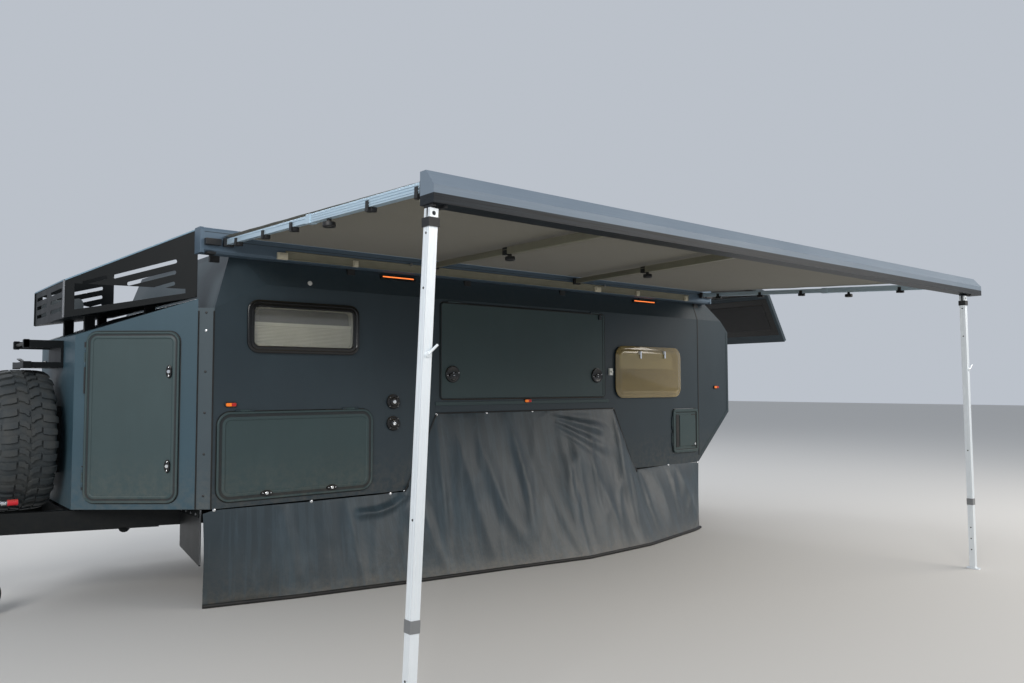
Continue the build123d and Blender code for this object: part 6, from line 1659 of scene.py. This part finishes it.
# Suspension: coil windings, dampers, brake plates with bolts, and rigid brake pipes
COIL_TURNS, COIL_STEPS, COIL_RADIUS = 6, 14, 0.0475
HUB_HEIGHT = 0.443
under = Heap()
spring_low, spring_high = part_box("suspension_springs")
for axle in AXLES.values():
    for side in SIDE_PAIR:
        y = side * 0.627
        bottom, top = spring_low.z + 0.012, spring_high.z - 0.012
        coil = []
        for k, z in enumerate(steps_between(bottom, top, COIL_TURNS * COIL_STEPS)):
            angle = 2 * math.pi * k / COIL_STEPS
            x = axle - 0.070 + COIL_RADIUS * math.cos(angle)
            coil.append((x, y + COIL_RADIUS * math.sin(angle), z))
        under.rod(coil, 0.0068, 8)
        for z in (spring_low.z, spring_high.z - 0.008):
            under.lathe(mm(0, 12, 0, 56.5, 8, 56.5, 8, 12), (axle - 0.070, y, z), UP, 28, 1)
        damper = [(axle + 0.075, y, level(0.470)), (axle + 0.035, side * 0.610, level(0.590))]
        under.rod(damper, 0.0185, 16, 1)
        under.rod([(axle + 0.110, y, level(0.395)), damper[0]], 0.0085, 12, 2)
        plate = mm(0, 20, 0, 148, 3.5, 151, 8, 148, 8, 20)
        under.lathe(plate, (axle, side * 0.6905, level(HUB_HEIGHT)), (0, side, 0), 40, 1)
        for k in range(6):
            angle = math.pi * (k + 0.5) / 3
            x, height = axle + 0.072 * math.cos(angle), HUB_HEIGHT + 0.072 * math.sin(angle)
            spot = (x, side * 0.6900, level(height))
            under.lathe(mm(0, 9, 6, 9, 7, 7, 7.2, 1), spot, (0, -side, 0), 6, 2)
        pipe = [(-0.10, 0.560, 0.520), (-0.06, 0.585, 0.500)]
        pipe += [(-0.03, 0.640, 0.490), (-0.02, 0.688, 0.500)]
        under.rod([(axle + x, side * half, level(height)) for x, half, height in pipe], 0.0055)
for side in SIDE_PAIR:
    for x in (2.35, 2.95, 3.75, 4.55, 5.45, 6.10):
        for height in (0.500, 0.580):
            spot = (x, side * 0.530, level(height))
            under.lathe(mm(0, 10, 6, 10, 7.5, 8, 7.8, 1), spot, (0, side, 0), 6, 2)
    under.rod([(2.30 + 0.35 * k, side * 0.458, level(0.560)) for k in range(12)], 0.009)
    for k in range(6):
        x, y = 2.55 + 0.7 * k, side * 0.458
        under.block((x, y - 0.012, level(0.547)), (x + 0.025, y + 0.012, level(0.5735)), 1)
under.make("suspension_fittings", "rubber black steel", edge=0.0008, slot="frame_black")

# Galley: worktop lip, sink, tap, hob and cupboard doors
SHELF = level(1.260)
GALLEY_X, GALLEY_Y = (3.610, 5.370), (-1.010, -0.584)
SINK_X, SINK_Y, TAP_Y = 4.02, -0.80, -0.628
galley = Heap()
(x0, x1), (y0, y1) = GALLEY_X, GALLEY_Y
galley.block((x0, y0, SHELF), (x1, y1, SHELF + 0.004))
galley.block((x0, y0 - 0.001, SHELF - 0.018), (x1, y0 + 0.004, SHELF + 0.010), 1)
bowl = []
for reach, rise in mm(150, 5, 150, 8.5, 140, 9, 134, 6, 124, 4.5, 30, 4.2):
    deep = reach * 0.86
    corners = rounded(SINK_X - reach, SINK_X + reach, SINK_Y - deep, SINK_Y + deep, 0.035)
    bowl.append([Vector((x, y, SHELF + rise)) for x, y in corners])
galley.skin(bowl, 2)
galley.lathe(mm(0, 20, 2, 20, 4, 14, 4.5, 2), (SINK_X, SINK_Y, SHELF + 0.0044), UP, 24, 1)
spout = [(-0.628, 0), (-0.628, 0.19), (-0.650, 0.222), (-0.700, 0.228), (-0.735, 0.205)]
galley.rod([(SINK_X, y, SHELF + rise) for y, rise in spout], 0.0095, 16, 2)
galley.lathe(mm(0, 24, 8, 24, 12, 18, 12, 10), (SINK_X, TAP_Y, SHELF + 0.004), UP, 24, 2)
galley.rod([(SINK_X, TAP_Y, SHELF + 0.060), (SINK_X + 0.045, -0.640, SHELF + 0.080)], 0.0055, 12, 2)
hob = []
for inset, rise in mm(0, 4, 0, 9, 6, 12):
    corners = rounded(4.42 + inset, 4.96 - inset, -0.965 + inset, -0.645 - inset, 0.03)
    hob.append([Vector((x, y, SHELF + rise)) for x, y in corners])
galley.skin(hob, 1)
BURNER = mm(0, 58, 4, 58, 10, 46, 16, 44, 18, 36, 18.5, 4)
for x in (4.56, 4.82):
    galley.lathe(BURNER, (x, SINK_Y, SHELF + 0.012), UP, 32, 2)
    for k in range(4):
        angle = math.pi / 4 + k * math.pi / 2
        a, b = [
            Vector((x + r * math.cos(angle), SINK_Y + r * math.sin(angle), SHELF + 0.040))
            for r in (0.030, 0.105)
        ]
        galley.rod([a, b, b - Vector((0, 0, 0.026))], 0.004, 8, 1)
    galley.lathe(mm(0, 16, 14, 15, 18, 12, 18.5, 2), (x, -0.940, SHELF + 0.012), UP, 20, 1)
for k in range(4):
    xa, xb = x0 + 0.012 + 0.438 * k, x0 + 0.438 * (k + 1)
    galley.block((xa, y1 - 0.012, SHELF + 0.270), (xb, y1 - 0.002, level(1.935)), 3)
    galley.lathe(mm(0, 16, 4, 16, 6, 12, 6.5, 2), (xb - 0.045, y1 - 0.012, SHELF + 0.310), OUT, 20, 2)
galley.block((x0, y1 - 0.090, SHELF + 0.250), (x1, y1 - 0.001, SHELF + 0.264), 3)
galley.make("galley_fittings", "grey_panel plastic steel ply", edge=0.0012, slot="steel")

# Inside lining: wall battens and ceiling ribs seen through the glass and the rear opening
CEILING = ROOF - 0.0345
inside = Heap()
for x in (2.40, 3.40, 5.42, 6.45):
    inside.block((x - 0.020, -0.900, ROOF - 0.047), (x + 0.020, 0.900, CEILING))
for side, height, x0, x1 in (
    (-1, 1.150, 5.45, 6.62),
    (1, 1.150, 5.45, 6.62),
    (1, 1.720, 2.99, 3.86),
    (1, 1.720, 5.10, 5.45),
):
    y = side * (HALF - 0.0345)
    ya, yb = sorted((y, y - side * 0.010))
    inside.block((x0, ya, level(height) - 0.020), (x1, yb, level(height) + 0.020))
for x in (3.0, 4.5, 6.0):
    inside.lathe(mm(0, 46, 6, 46, 10, 38, 10.5, 4), (x, 0, CEILING), (0, 0, -1), 28, 1)
inside.make("inside_trim", "liner white_plastic", edge=0.0015)

# Rounded edges on the CAD nodes that show most
for node_name, width in (
    ("nose_box", 0.004),
    ("awning_case", 0.003),
    ("awning_lead_rail", 0.0025),
    ("drawbar_rails", 0.004),
    ("chassis_frame", 0.003),
    ("rear_bar", 0.003),
    ("nose_tray", 0.0012),
    ("spare_carrier", 0.002),
):
    weld = nodes[node_name].modifiers.new("weld", "WELD")
    weld.merge_threshold = 0.00002
    bevel(nodes[node_name], width, 28)

# Bounds of the CAD frame and of the finished scene

low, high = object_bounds()
{"cad": [list(cad_low), list(cad_high)], "visual": [list(low), list(high)]}
